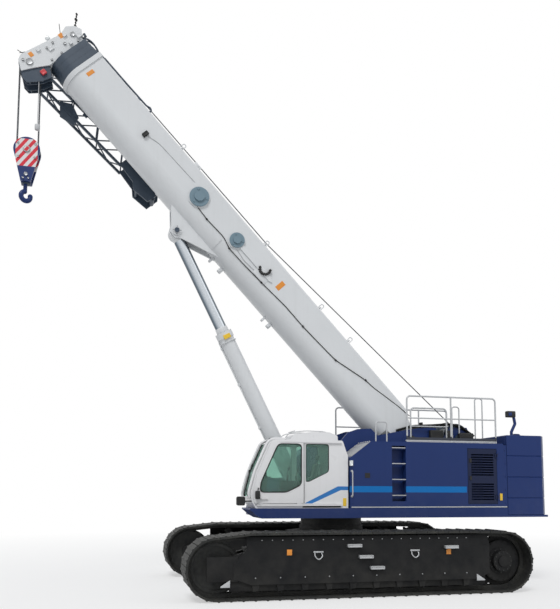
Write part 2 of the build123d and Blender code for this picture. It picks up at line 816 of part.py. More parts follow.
def boom_tip():
    start = section_start + (tip_level - 1) * 60
    body = boom_run(tip_level, 0, start, tip_front + 60)
    body += boom_run(tip_level, wear_ring(tip_level), start, start + wear_ring_length)
    body -= boom_run(tip_level, -section_wall, start - 1, tip_front + 20)
    # head: two side plates, a face plate and a front plate; rows are s from the tube's end, and n
    plate = [(tip_front + s, n) for s, n in
             ((0, 403), (266, 600), (420, 520), (533, 335), (450, 90), (585, -998),
              (517, -1129), (272, -1262), (155, -961), (0, -631))]
    for sign in (-1, 1):
        y0, y1 = head_half_width - head_plate, head_half_width
        body += prism(plate, min(sign * y0, sign * y1), max(sign * y0, sign * y1))
    inner = head_half_width - head_plate + 5
    body += slab(tip_front, tip_front + 40, -inner, inner, -600, 395)
    front = [(tip_front + 428, 60), (tip_front + 452, 60), (tip_front + 547, -690), (tip_front + 523, -690)]
    body += prism(front, -inner, inner)
    body -= rod_y(sheave_s, sheave_n, 50 + pin_fit, -500, 500)
    body -= rod_y(top_sheave_s, top_sheave_n, 35 + pin_fit, -500, 500)
    return body


def sheave(s, n, radius, y, width, bore):
    half = width / 2
    root = radius - sheave_groove
    profile = [(bore, -half), (radius, -half), (root, -half * 0.35), (root, half * 0.35),
               (radius, half), (bore, half)]
    wheel = revolve(Plane.XZ * make_face(Polyline(*profile, close=True)), axis=Axis.Z)
    return Pos(s, y, n) * Rot(90, 0, 0) * wheel


def head_sheaves():
    inner = head_half_width - head_plate
    axle = rod_y(sheave_s, sheave_n, 50, -head_half_width - 20, head_half_width + 20)
    for index in range(sheave_count):
        y = -inner + sheave_pitch * (index + 0.5)
        axle += sheave(sheave_s, sheave_n, sheave_radius, y, sheave_width, 40)
    top = rod_y(top_sheave_s, top_sheave_n, 35, -head_half_width - 12, head_half_width + 12)
    for y in (-60, 60):
        top += sheave(top_sheave_s, top_sheave_n, 190, y, sheave_width, 30)
    return [axle, top]


save(boom_place * boom_tip(), "boom_tip")
save(group([boom_place * one for one in head_sheaves()]), "head_sheaves")


# Rope guard under the head: plates beside the sheaves, seated on the head's side plates
def head_guard():
    outline = [(tip_front + s, n) for s, n in
               ((-249, -777), (-10, -648), (95, -640), (190, -900), (272, -1262), (149, -1336), (-6, -1331),
                (-100, -1186), (-194, -1013))]
    outer = head_half_width - head_plate
    plates = []
    for sign in (-1, 1):
        for y0, y1 in ((outer - 30, outer), (guard_inner_y - 12, guard_inner_y + 12)):
            plates.append(prism(outline, min(sign * y0, sign * y1), max(sign * y0, sign * y1)))
        for s, n in ((-20, -1255), (180, -1275), (-150, -980)):
            rod = rod_y(tip_front + s, n, 26, sign * (guard_inner_y - 5), sign * (outer - 5))
            plates.append(rod)
    plates.append(rod_y(tip_front - 150, -745, 24, -outer + 5, outer - 5))
    return fuse(plates)


save(boom_place * head_guard(), "head_guard")
pin = rod_y(boom_pin_x, boom_pin_z, boom_pin_radius, -web_inner - web_thickness - 8 - pin_head,
            web_outer + 8 + pin_head)
save(pin, "boom_foot_pin")


# Round fittings on the side of the base section
def side_fittings():
    y0 = boom_half_width
    solids = []
    for s, radius in side_discs:
        disc = rod_y(s, 0, radius, y0, y0 + 60) + rod_y(s, 0, radius * 0.52, y0 + 55, y0 + 105)
        for angle in (35, 145, 270):
            x, z = s + radius * 0.76 * cos(radians(angle)), radius * 0.76 * sin(radians(angle))
            disc += rod_y(x, z, radius * 0.11, y0 + 55, y0 + 78)
        solids.append(disc)
    return [boom_place * one for one in solids]


save(group(side_fittings()), "boom_side_fittings")


# Lattice jib stowed along the far side of the base section
jib_rear = 9000
jib_mid = 10150
jib_front = 13150
jib_inner_y = -500
jib_outer_y = -990
jib_chord = 60
jib_lace = 17
jib_lace_cut = 32             # lace ends stop this far from the chord's axis
jib_bays = 7


def jib():
    # columns: s, lower n, upper n
    root = (jib_mid, -700, -180)
    nose = (jib_front, -900, -420)
    chords = []
    corners = {}
    for y in (jib_inner_y, jib_outer_y):
        for row, key in ((1, "low"), (2, "high")):
            chords.append(beam((root[0], y, root[row]), (nose[0], y, nose[row]), jib_chord))
            corners[(y, key)] = (root[row], nose[row])

    def node(y, key, share):
        n0, n1 = corners[(y, key)]
        return root[0] + (nose[0] - root[0]) * share, y, n0 + (n1 - n0) * share

    laces = []
    for index in range(jib_bays):
        a, b = index / jib_bays, (index + 1) / jib_bays
        for y in (jib_inner_y, jib_outer_y):
            low, high = ("low", "high") if index % 2 == 0 else ("high", "low")
            laces.append(lace(node(y, low, a), node(y, high, b), jib_lace, jib_lace_cut))
        for key in ("low", "high"):
            first, second = (jib_inner_y, jib_outer_y) if index % 2 == 0 else (jib_outer_y, jib_inner_y)
            laces.append(lace(node(first, key, a), node(second, key, b), jib_lace, jib_lace_cut))
    for key in ("low", "high"):
        x, y0, z = node(jib_inner_y, key, 1)
        laces.append(slab(x - 50, x + 10, jib_outer_y, jib_inner_y, z - 30, z + 30))
    for y in (jib_inner_y, jib_outer_y):
        x, y0, low = node(y, "low", 1)
        laces.append(slab(x - 50, x + 10, y - 30, y + 30, low, node(y, "high", 1)[2]))
    rear = [(jib_mid + 30, -690), (jib_mid + 30, -145), (jib_rear + 120, -300), (jib_rear, -430),
            (jib_rear + 15, -796), (jib_rear + 479, -869), (jib_rear + 647, -741)]
    for y in (jib_inner_y, jib_outer_y):
        laces.append(prism(rear, y - 22, y + 22))
    for s, n in ((jib_rear + 90, -500), (jib_rear + 430, -800), (jib_mid - 60, -300)):
        laces.append(rod_y(s, n, 38, jib_outer_y, jib_inner_y))
    # latch plate on the inner chords
    latch = [(jib_front - 1537, -943), (jib_front - 1450, -699), (jib_front - 1086, -592),
             (jib_front - 859, -790), (jib_front - 1158, -1056)]
    laces.append(prism(latch, jib_inner_y - 14, jib_inner_y + 14))
    body = fuse(chords + laces)
    # stowing brackets, their ends against the flat of the boom's side
    for s in (9400, 11650):
        body += slab(s - 60, s + 60, jib_inner_y - 20, -boom_half_width, -175, -95)
        body += slab(s - 60, s + 60, jib_inner_y - 20, jib_inner_y + 20, -560, -95)
    return body


save(boom_place * jib(), "jib")


# Luffing cylinder, in its own frame: x runs from the foot pin to the rod's eye
def luff_barrel():
    body = rod_x(0, luff_neck_length, 0, 0, luff_rod_radius)
    body += rod_x(luff_neck_length, luff_barrel_length, 0, 0, luff_barrel_radius)
    body += rod_x(luff_barrel_length - 150, luff_barrel_length, 0, 0, luff_barrel_radius + 22)
    body -= rod_x(luff_neck_length + 60, luff_barrel_length + 1, 0, 0, luff_barrel_bore)
    body += rod_y(0, 0, luff_eye_radius, -luff_eye_half_width, luff_eye_half_width)
    body -= rod_y(0, 0, luff_pin_radius + pin_fit, -300, 300)
    gland = rod_x(luff_barrel_length - 60, luff_barrel_length, 0, 0, luff_barrel_bore + 2)
    gland -= rod_x(luff_barrel_length - 61, luff_barrel_length + 1, 0, 0, luff_rod_radius + pin_fit)
    return body + gland


rod_start = luff_length - luff_rod_length


def luff_rod():
    body = rod_x(rod_start, luff_length - 60, 0, 0, luff_rod_radius)
    body += rod_y(luff_length, 0, luff_eye_radius, -luff_eye_half_width, luff_eye_half_width)
    return body


def luff_piston():
    ring = rod_x(rod_start - 40, rod_start + luff_piston_length, 0, 0, luff_barrel_bore - pin_fit)
    return ring - rod_x(rod_start, rod_start + luff_piston_length + 1, 0, 0, luff_rod_radius + pin_fit)


save(luff_place * luff_barrel(), "luff_barrel")
save(luff_place * luff_rod(), "luff_rod")
save(luff_place * luff_piston(), "luff_piston")
foot_reach = luff_eye_half_width + ear_gap + 60 + 25
save(rod_y(luff_foot_x, luff_foot_z, luff_pin_radius, -foot_reach, foot_reach), "luff_foot_pin")


# Cab
# rows: x, z and corner radius of the cab's outline and of its side windows
cab_outline = [(cab_rear_x, deck_top, 0), (cab_rear_x, 3105, 60), (cab_rear_x + 130, cab_top, 60),
               (cab_nose_x - 467, cab_top, 230), (cab_nose_x - 126, 2713, 700), (cab_nose_x, 2225, 150),
               (cab_nose_x - 43, 2035, 100), (cab_nose_x - 126, deck_top, 0)]
front_window = [(1190, 3375, 45), (1190, 2435, 60), (1545, 2262, 110), (2170, 2262, 75), (2155, 2470, 90),
                (1745, 3375, 120)]
rear_window = [(1070, 3385, 40), (510, 3385, 50), (510, 2740, 70), (990, 2505, 60), (1070, 2505, 40)]
roof_hump = [(240, cab_top - 5, 0), (250, cab_top + 125, 50), (450, cab_top + 200, 120),
             (900, cab_top + 200, 200), (1330, cab_top + 140, 60), (1420, cab_top - 5, 0)]


def cab_block(inset, y0, y1):
    face = rounded(cab_outline)
    if inset:
        face = offset(face, amount=-inset, kind=Kind.INTERSECTION)
    return prism_of(face, y0, y1)


def door_opening(y0, y1):
    # the opening follows the front pillar
    return cab_block(95, y0, y1) & slab(door_rear_x + 30, cab_nose_x, y0, y1, 2050, 3365)


def cab_shell():
    body = cab_block(0, cab_inner, cab_outer)
    body -= cab_block(cab_wall, cab_inner + cab_wall, cab_outer - cab_wall)
    body -= door_opening(cab_outer - cab_wall - 5, cab_outer + 5)
    body -= prism_of(rounded(rear_window), cab_outer - cab_wall - 5, cab_outer + 5)
    body -= windscreen_hole()
    body -= slab(cab_rear_x - 10, 300, cab_inner + 130, cab_outer - 130, 2600, 3050)
    body -= prism_of(rounded(rear_window), cab_inner - 5, cab_inner + cab_wall + 5)
    body -= prism_of(rounded(front_window), cab_inner - 5, cab_inner + cab_wall + 5)
    # door rails above and below
    body += slab(cab_rear_x + 160, 2240, cab_outer - 5, cab_outer + 42, rail_top - 45, rail_top)
    body += slab(cab_rear_x + 160, 1700, cab_outer - 5, cab_outer + 42, 3412, 3440)
    # roof hump
    return body + prism_of(rounded(roof_hump), cab_inner + 130, cab_outer - 130)


def windscreen_hole():
    return slab(1500, 2600, cab_inner + 70, cab_outer - 70, 2130, 3395)


def cab_glass():
    band = cab_block(16, cab_inner + 5, cab_outer - 5) - cab_block(26, cab_inner + 2, cab_outer - 2)
    screen = band & windscreen_hole()
    pane_out = cab_outer - 24
    pane_in = cab_inner + 16
    rear_pane = rounded(rear_window)
    return [screen, prism_of(rear_pane, pane_out, pane_out + 8), prism_of(rear_pane, pane_in, pane_in + 8),
            prism_of(rounded(front_window), pane_in, pane_in + 8),
            slab(cab_rear_x + 16, cab_rear_x + 24, cab_inner + 130, cab_outer - 130, 2600, 3050)]


def cab_door():
    y0 = cab_outer + door_offset
    y1 = y0 + door_thickness
    door = cab_block(door_edge, y0, y1) & slab(door_rear_x, cab_nose_x, y0, y1, door_bottom, door_top)
    door -= prism_of(rounded(front_window), y0 - 5, y1 + 5)
    for x in (door_rear_x + 60, 2110):
        door += slab(x, x + 100, y0, y1, rail_top + wheel_gap, door_bottom + 5)
    # bow handle
    door += slab(1995, 2025, y1 - 2, y1 + 40, 2100, 2130)
    door += slab(2135, 2165, y1 - 2, y1 + 40, 2100, 2130)
    door += slab(1995, 2165, y1 + 22, y1 + 40, 2100, 2130)
    return door, prism_of(rounded(front_window), y0 + 14, y0 + 22)


save(cab_shell(), "cab_shell")
save(group(cab_glass()), "cab_glass")
door_panel, door_pane = cab_door()
save(door_panel, "cab_door")
save(door_pane, "cab_door_glass")


def seat():
    floor = deck_top + cab_wall
    mid = (cab_inner + cab_outer) / 2
    base = slab(700, 1150, mid - 190, mid + 190, floor, floor + 260)
    cushion = slab(680, 1230, mid - 250, mid + 250, floor + 260, floor + 400)
    back = prism([(690, floor + 400), (860, floor + 400), (760, floor + 1050), (620, floor + 1050)],
                 mid - 240, mid + 240)
    head = slab(610, 740, mid - 130, mid + 130, floor + 1070, floor + 1230)
    neck = slab(650, 700, mid - 60, mid + 60, floor + 1040, floor + 1080)
    return base + cushion + back + neck + head


def console():
    floor = deck_top + cab_wall
    mid = (cab_inner + cab_outer) / 2
    left = slab(900, 1330, cab_outer - cab_wall - 110, cab_outer - cab_wall - 20, floor, floor + 560)
    left += slab(1250, 1290, cab_outer - cab_wall - 85, cab_outer - cab_wall - 45, floor + 550, floor + 700)
    right = slab(900, 1500, cab_inner + cab_wall, cab_inner + cab_wall + 110, floor, floor + 600)
    right += slab(1290, 1330, cab_inner + cab_wall + 30, cab_inner + cab_wall + 70, floor + 590, floor + 740)
    outline = [(2000, floor), (2100, floor), (2090, floor + 560), (1960, floor + 640), (1930, floor + 600)]
    panel = prism(outline, mid - 155, mid + 155)
    return [left, right, panel]


save(seat(), "operator_seat")
save(group(console()), "cab_consoles")


# Hook block, its rope falls and hook
falls_top_x, falls_top_z = boom_point(sheave_s, sheave_n)
block_top = falls_top_z - block_drop
block_bottom = block_top - block_height
hook_tip_z = block_bottom - hook_drop
block_sheave_z = block_top - block_half_width


def hoist_falls():
    solids = []
    reach = sheave_radius - sheave_groove + rope_radius + wheel_gap
    for y in (-sheave_pitch / 2, sheave_pitch / 2):
        for side in (-1, 1):
            solids.append(rod_z(falls_top_x + side * reach, y, rope_radius, block_sheave_z, falls_top_z))
    return solids


def hook_block():
    sheave_z = block_sheave_z
    cheek = (Pos(falls_top_x, sheave_z) * Circle(block_half_width)
             + make_face(Polyline((falls_top_x - block_half_width * 0.97, sheave_z - 60),
                                  (falls_top_x - 120, block_bottom), (falls_top_x + 120, block_bottom),
                                  (falls_top_x + block_half_width * 0.97, sheave_z - 60), close=True)))
    solids = []
    for sign in (-1, 1):
        y0, y1 = block_half_thickness - 45, block_half_thickness
        plate = prism_of(cheek, min(sign * y0, sign * y1), max(sign * y0, sign * y1))
        solids.append(plate)
    middle = rod_y(falls_top_x, sheave_z, 60, -block_half_thickness - 25, block_half_thickness + 25)
    solids.append(middle)
    for y in (-sheave_pitch / 2, sheave_pitch / 2):
        solids.append(sheave(falls_top_x, sheave_z, sheave_radius, y, sheave_width, 40))
    half = block_half_thickness - 5
    solids.append(slab(falls_top_x - 110, falls_top_x + 110, -half, half, block_bottom, block_bottom + 230))
    return fuse(solids)


def hook():
    # a round bar bent from the shank around the bowl to a round tip
    centre_z = hook_tip_z + hook_ring_radius + hook_thickness
    ring = Rot(0, -hook_start, 0) * revolve(Plane.XY * Pos(hook_ring_radius, 0) * Circle(hook_thickness),
                                            axis=Axis.Y, revolution_arc=hook_arc)
    body = ring + rod_z(18, 0, 46, hook_ring_radius - 15, block_bottom - centre_z)
    for turn in (hook_start, hook_start - hook_arc):
        x, z = hook_ring_radius * cos(radians(turn)), hook_ring_radius * sin(radians(turn))
        body += Pos(x, 0, z) * Sphere(hook_thickness)
    return Pos(falls_top_x, 0, centre_z) * Rot(0, 0, hook_turn) * body


save(group(hoist_falls()), "hoist_falls")
save(hook_block(), "hook_block")
save(hook(), "hook")


# Lamp on its bracket at the cab's front corner
def mirror_bracket():
    y = cab_outer - 75
    arm = slab(cab_nose_x - 80, cab_nose_x + 130, y - 14, y + 14, 2040, 2068)
    arm -= cab_block(0, y - 20, y + 20)
    lamp = slab(cab_nose_x + 115, cab_nose_x + 300, y - 62, y + 62, 1955, 2160)
    lamp = fillet(lamp.edges().filter_by(Axis.Y), 38)
    lamp -= slab(cab_nose_x + 286, cab_nose_x + 301, y - 45, y + 45, 1985, 2130)
    return arm + lamp


save(mirror_bracket(), "mirror_bracket")
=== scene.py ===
from math import cos, pi, radians, sin

import bpy
from mathutils import Matrix, Vector


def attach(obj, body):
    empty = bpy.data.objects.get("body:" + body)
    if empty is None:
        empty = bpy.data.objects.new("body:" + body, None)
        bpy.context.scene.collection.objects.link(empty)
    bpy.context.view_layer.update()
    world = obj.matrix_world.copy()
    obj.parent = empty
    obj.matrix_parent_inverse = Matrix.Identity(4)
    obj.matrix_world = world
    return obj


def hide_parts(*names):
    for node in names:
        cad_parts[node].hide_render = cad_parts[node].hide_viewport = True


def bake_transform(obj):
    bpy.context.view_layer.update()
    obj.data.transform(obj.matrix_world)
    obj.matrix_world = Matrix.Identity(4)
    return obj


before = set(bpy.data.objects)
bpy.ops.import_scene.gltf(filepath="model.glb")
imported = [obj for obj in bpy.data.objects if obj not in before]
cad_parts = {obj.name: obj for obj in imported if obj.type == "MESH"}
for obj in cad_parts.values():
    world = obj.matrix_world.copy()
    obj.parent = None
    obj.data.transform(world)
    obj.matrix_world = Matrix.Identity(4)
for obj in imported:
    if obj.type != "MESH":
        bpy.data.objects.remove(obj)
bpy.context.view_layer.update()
bpy.ops.object.select_all(action="DESELECT")
print("frame loaded:", len(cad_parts), "nodes")

# The boom's own frame: s runs from the foot pin to the head, n is up from its axis
boomFoot = Vector((-2.0, 0.0, 3.6))
boomTilt = radians(47)
boomAlong = Vector((cos(boomTilt), 0, sin(boomTilt)))
boomUp = Vector((-sin(boomTilt), 0, cos(boomTilt)))
luffFoot = Vector((0.74, 0.0, 2.07))
luffEye = boomFoot + boomAlong * 7.85 - boomUp * 0.94
luffLength = (luffEye - luffFoot).length
luffAlong = (luffEye - luffFoot).normalized()


def newMaterial(name):
    material = bpy.data.materials.new(name)
    material.use_nodes = True
    return material, material.node_tree, material.node_tree.nodes["Principled BSDF"]


def fill(tree, node, inputs):
    # links each socket that is given, and sets each plain value
    for key, value in inputs.items():
        if isinstance(value, bpy.types.NodeSocket):
            tree.links.new(value, node.inputs[key])
        else:
            node.inputs[key].default_value = value
    return node


def addNode(tree, kind, inputs=None, **settings):
    node = tree.nodes.new(kind)
    for key, value in settings.items():
        setattr(node, key, value)
    return fill(tree, node, inputs or {})


def objectPlace(tree, stretch=(1, 1, 1), turn=(0, 0, 0)):
    place = addNode(tree, "ShaderNodeTexCoord").outputs["Object"]
    mapping = addNode(tree, "ShaderNodeMapping", {"Vector": place, "Scale": stretch, "Rotation": turn})
    return mapping.outputs["Vector"]


def noiseOf(tree, scale, detail=4.0, roughness=0.55, stretch=(1, 1, 1)):
    inputs = {"Vector": objectPlace(tree, stretch), "Scale": scale, "Detail": detail, "Roughness": roughness}
    return addNode(tree, "ShaderNodeTexNoise", inputs).outputs["Fac"]


def spread(tree, value, low, high, newLow=0.0, newHigh=1.0):
    node = addNode(tree, "ShaderNodeMapRange", {0: value, 1: low, 2: high, 3: newLow, 4: newHigh})
    return node.outputs[0]


def combine(tree, operation, first, second):
    return addNode(tree, "ShaderNodeMath", {0: first, 1: second}, operation=operation).outputs[0]


def times(tree, first, second):
    return combine(tree, "MULTIPLY", first, second)


def mixColour(tree, share, first, second, blend="MIX"):
    inputs = {0: share}
    for index, value in ((6, first), (7, second)):
        inputs[index] = value if isinstance(value, bpy.types.NodeSocket) else (*value, 1.0)
    return addNode(tree, "ShaderNodeMix", inputs, data_type="RGBA", blend_type=blend).outputs[2]


def axisValue(tree, axis):
    place = addNode(tree, "ShaderNodeTexCoord").outputs["Object"]
    return addNode(tree, "ShaderNodeSeparateXYZ", {0: place}).outputs[axis]


def vectorMath(tree, operation, first, second=(0, 0, 0)):
    return addNode(tree, "ShaderNodeVectorMath", {0: first, 1: second}, operation=operation)


def distanceAlong(tree, direction, origin):
    # how far a point lies along a direction, from an origin
    place = addNode(tree, "ShaderNodeTexCoord").outputs["Object"]
    away = vectorMath(tree, "SUBTRACT", place, tuple(origin)).outputs[0]
    return vectorMath(tree, "DOT_PRODUCT", away, tuple(direction)).outputs["Value"]


def bumpOf(tree, height, strength, distance=0.01):
    inputs = {"Height": height, "Strength": strength, "Distance": distance}
    return addNode(tree, "ShaderNodeBump", inputs).outputs["Normal"]


def dustShare(tree, look):
    # dust lies low on the machine and on faces that look up, broken up by noise
    low = spread(tree, axisValue(tree, 2), look["dustTop"], look["dustBottom"])
    facing = addNode(tree, "ShaderNodeTexCoord").outputs["Normal"]
    upward = vectorMath(tree, "DOT_PRODUCT", facing, (0, 0, 1)).outputs["Value"]
    lying = spread(tree, upward, 0.55, 1.0, 0.0, look["lying"])
    patches = spread(tree, noiseOf(tree, look["dustScale"], 6.0, 0.65), 0.36, 0.72)
    return times(tree, combine(tree, "MAXIMUM", low, lying), times(tree, patches, look["dust"]))


paintLook = {
    "drift": 0.05, "streaks": 0.04, "roughness": (0.32, 0.5), "coat": 0.12, "peel": 0.05,
    "dust": 0.35, "dustTop": 2.6, "dustBottom": 0.6, "dustScale": 2.4, "lying": 0.35,
    "dustColour": (0.36, 0.34, 0.29), "metallic": 0.0, "specular": 0.45,
    "cloudTint": (0.72, 0.73, 0.75), "runTint": (0.6, 0.58, 0.54), "runStretch": (9, 9, 0.55),
}


def paint(tree, colour, changes, second=None, share=None):
    # a coat with clouds, runs, dust and orange peel; a second colour may lie on a share of it
    look = {**paintLook, **changes}
    base = colour
    if second is not None:
        base = mixColour(tree, share(tree), colour, second(tree) if callable(second) else second)
    clouds = spread(tree, noiseOf(tree, 0.9, 5.0), 0.3, 0.75, 0.0, look["drift"] * 3)
    running = noiseOf(tree, 1.0, 5.0, 0.6, look["runStretch"])
    runs = spread(tree, running, 0.52, 0.8, 0.0, look["streaks"] * 3)
    shade = mixColour(tree, 1.0, mixColour(tree, clouds, (1, 1, 1), look["cloudTint"]),
                      mixColour(tree, runs, (1, 1, 1), look["runTint"]), "MULTIPLY")
    coated = mixColour(tree, 1.0, base, shade, "MULTIPLY")
    return {
        "Base Color": mixColour(tree, dustShare(tree, look), coated, look["dustColour"]),
        "Roughness": spread(tree, noiseOf(tree, 3.0, 6.0), 0.3, 0.7, *look["roughness"]),
        "Metallic": look["metallic"], "Specular IOR Level": look["specular"],
        "Coat Weight": look["coat"], "Coat Roughness": 0.18,
        "Normal": bumpOf(tree, noiseOf(tree, 90, 3.0), look["peel"], 0.004)}


white = (0.655, 0.67, 0.68)
cabWhite = (0.74, 0.74, 0.745)
navy = (0.0115, 0.031, 0.132)
grilleNavy = (0.0075, 0.014, 0.048)
stripeBlue = (0.0, 0.155, 0.47)
slate = (0.04, 0.06, 0.088)
black = (0.0065, 0.007, 0.008)


def within(tree, axis, low, high):
    # one between two places along an axis, and nothing outside them
    value, soft = axisValue(tree, axis), 0.002
    return times(tree, spread(tree, value, low - soft, low + soft),
                 spread(tree, value, high - soft, high + soft, 1.0, 0.0))


def housingStripe(tree):
    outside = spread(tree, axisValue(tree, 1), 1.44, 1.45)
    return times(tree, within(tree, 2, 2.262, 2.408), times(tree, within(tree, 0, -3.02, 0.2), outside))


def cabStripe(tree):
    # a level band at the cab's rear that slants down towards the door
    x, z = axisValue(tree, 0), axisValue(tree, 2)
    lower = spread(tree, x, 0.22, 0.92, 2.31, 2.0)
    upper = spread(tree, x, 0.29, 1.11, 2.4, 2.0)
    above = spread(tree, combine(tree, "SUBTRACT", z, lower), -0.002, 0.002)
    below = spread(tree, combine(tree, "SUBTRACT", upper, z), -0.002, 0.002)
    side = times(tree, spread(tree, axisValue(tree, 1), 1.43, 1.44), spread(tree, z, 1.998, 2.002))
    return times(tree, times(tree, above, below), side)


def hazardColour(tree):
    # slanted bands on the hook block's cheeks
    slant = combine(tree, "ADD", axisValue(tree, 0), times(tree, axisValue(tree, 2), 0.75))
    part = combine(tree, "FRACT", times(tree, slant, 5.2), 0.0)
    return mixColour(tree, spread(tree, part, 0.49, 0.51), (0.62, 0.03, 0.05), (0.7, 0.7, 0.7))


def hazardArea(tree):
    # the cheeks above the block's navy foot
    x = combine(tree, "ABSOLUTE", combine(tree, "SUBTRACT", axisValue(tree, 0), 7.636), 0.0)
    return times(tree, within(tree, 2, 9.98, 10.66), spread(tree, x, 0.25, 0.255, 1.0, 0.0))


def toeBand(tree):
    # the dark toe board along the foot of the left rail
    return times(tree, within(tree, 2, 3.532, 3.632), spread(tree, axisValue(tree, 1), 1.4, 1.41))


def pastCollar(tree):
    return spread(tree, distanceAlong(tree, boomAlong, boomFoot), 12.3025, 12.3035)


def pastRodHead(tree):
    return spread(tree, distanceAlong(tree, luffAlong, luffFoot), luffLength - 0.22, luffLength - 0.215)


def bareSteel(tree, colour, roughness, scale, bump, tint, metallic):
    patches = spread(tree, noiseOf(tree, scale, 8.0, 0.65), 0.35, 0.7)
    return {
        "Base Color": mixColour(tree, patches, colour, [c * t for c, t in zip(colour, tint)]),
        "Roughness": spread(tree, noiseOf(tree, scale * 2, 6.0), 0.3, 0.7, *roughness),
        "Metallic": metallic, "Normal": bumpOf(tree, noiseOf(tree, scale * 4, 4.0), bump, 0.004)}


def trackPlate(tree):
    # dark steel with worn high spots and dry clay in patches
    fine = noiseOf(tree, 26, 6.0, 0.7)
    steel = mixColour(tree, spread(tree, fine, 0.35, 0.7), (0.008, 0.0085, 0.009), (0.022, 0.023, 0.022))
    clay = times(tree, spread(tree, noiseOf(tree, 3.2, 7.0, 0.7), 0.42, 0.66), spread(tree, fine, 0.3, 0.62))
    return {
        "Base Color": mixColour(tree, times(tree, clay, 0.45), steel, (0.085, 0.082, 0.066)),
        "Roughness": spread(tree, fine, 0.3, 0.7, 0.5, 0.85), "Metallic": 0.25,
        "Normal": bumpOf(tree, fine, 0.5)}


def chromeRod(tree):
    # polished rod: a painted reflection, bright along its middle and dark towards its edges, with a painted
    # head
    fine = noiseOf(tree, 45, 5.0)
    across = combine(tree, "ABSOLUTE", axisValue(tree, 1), 0.0)
    # edge and middle share out the painted reflection: painted shade towards the rod's sides, a painted
    # highlight along its middle
    edge = spread(tree, across, 0.02, 0.1)
    middle = spread(tree, across, 0.085, 0.142)
    paintedReflection = mixColour(tree, edge, (0.045, 0.065, 0.085), (0.17, 0.21, 0.25))
    paintedReflection = mixColour(tree, middle, paintedReflection, (0.62, 0.66, 0.7))
    paintedReflection = mixColour(tree, spread(tree, fine, 0.4, 0.7, 0.0, 0.2), paintedReflection, (0.1, 0.13, 0.16))
    headed = pastRodHead(tree)
    return {
        "Base Color": mixColour(tree, headed, paintedReflection, white),
        "Roughness": spread(tree, headed, 0, 1, 0.16, 0.42),
        "Metallic": spread(tree, headed, 0, 1, 0.9, 0.0), "Normal": bumpOf(tree, fine, 0.03, 0.002)}


def glazing(tree):
    film = spread(tree, noiseOf(tree, 2.5, 5.0), 0.3, 0.7)
    return {
        "Base Color": mixColour(tree, film, (0.52, 0.74, 0.66), (0.44, 0.66, 0.58)),
        "Roughness": spread(tree, film, 0, 1, 0.02, 0.07), "Transmission Weight": 0.88, "IOR": 1.15}


def waveOf(tree, scale, turn=(0, 0, 0), **others):
    inputs = {"Vector": objectPlace(tree, (1, 1, 1), turn), "Scale": scale, **others}
    return addNode(tree, "ShaderNodeTexWave", inputs).outputs["Fac"]


def wireRope(tree):
    # strands lie at a slant round the rope
    strands = waveOf(tree, 26.0, (0.5, 0.6, 0.3), Distortion=0.4, Detail=1.0)
    return {
        "Base Color": mixColour(tree, strands, (0.03, 0.033, 0.037), (0.13, 0.14, 0.15)),
        "Roughness": spread(tree, strands, 0, 1, 0.55, 0.35), "Metallic": 0.7,
        "Normal": bumpOf(tree, strands, 0.6, 0.004)}


def seatCloth(tree):
    # two sets of crossing threads, paler where it is worn
    warp, weft = (waveOf(tree, 70.0, (0, 0, turn), Distortion=0.6) for turn in (0, pi / 2))
    weave = times(tree, warp, weft)
    worn = noiseOf(tree, 6, 5.0)
    cloth = mixColour(tree, weave, (0.05, 0.055, 0.06), (0.17, 0.18, 0.19))
    return {
        "Base Color": mixColour(tree, spread(tree, worn, 0.45, 0.8, 0, 0.4), cloth, (0.22, 0.22, 0.22)),
        "Roughness": spread(tree, worn, 0.3, 0.7, 0.75, 0.95), "Sheen Weight": 0.3,
        "Normal": bumpOf(tree, weave, 0.5, 0.003)}


def lampLens(tree):
    # ribbed lens
    ribs = waveOf(tree, 28.0)
    return {
        "Base Color": mixColour(tree, ribs, (0.78, 0.8, 0.8), (0.62, 0.66, 0.68)),
        "Roughness": spread(tree, ribs, 0, 1, 0.08, 0.2), "Metallic": 0.55,
        "Normal": bumpOf(tree, ribs, 0.4, 0.003)}


navyLook = {"coat": 0.06, "roughness": (0.34, 0.5), "drift": 0.08, "dust": 0.08, "specular": 0.2}
blackLook = {"drift": 0.1, "roughness": (0.5, 0.75), "coat": 0.0, "dustTop": 1.5, "dustBottom": -0.6,
             "dust": 0.1, "specular": 0.2}
slateLook = {"drift": 0.12, "roughness": (0.42, 0.62), "dust": 0.12, "specular": 0.35}
softLook = {"roughness": (0.35, 0.5), "dust": 0.1}
plasticLook = {"roughness": (0.5, 0.7), "peel": 0.2, "coat": 0.0, "dust": 0.1, "specular": 0.35}
rubberLook = {"roughness": (0.6, 0.85), "peel": 0.3, "coat": 0.0, "dust": 0.12, "specular": 0.3}
# name: colour, changes to the paint's look, second colour, where it lies
paints = {
    "boomWhite": (white, {}),
    "sectionPaint": (white, {}, slate, pastCollar),
    "cabPaint": (cabWhite, {"coat": 0.2, "roughness": (0.25, 0.4), "dust": 0.15}, stripeBlue, cabStripe),
    "navyPaint": (navy, navyLook),
    "grillePaint": (grilleNavy, navyLook),
    "housingPaint": (navy, navyLook, stripeBlue, housingStripe),
    "blockPaint": (navy, {"coat": 0.1, "dust": 0.1, "specular": 0.3}, hazardColour, hazardArea),
    "slatePaint": (slate, slateLook),
    "discGrey": ((0.155, 0.235, 0.285), softLook),
    "frameBlack": (black, blackLook),
    "railGrey": ((0.5, 0.51, 0.52), softLook),
    "leftRail": ((0.5, 0.51, 0.52), softLook, (0.02, 0.025, 0.04), toeBand),
    "blackPlastic": ((0.014, 0.0145, 0.015), plasticLook),
    "rubber": ((0.012, 0.012, 0.012), rubberLook),
    "orangePlate": ((0.72, 0.26, 0.03), softLook),
    "yellowPlate": ((0.8, 0.52, 0.03), softLook),
    "redPaint": ((0.6, 0.05, 0.06), softLook),
}
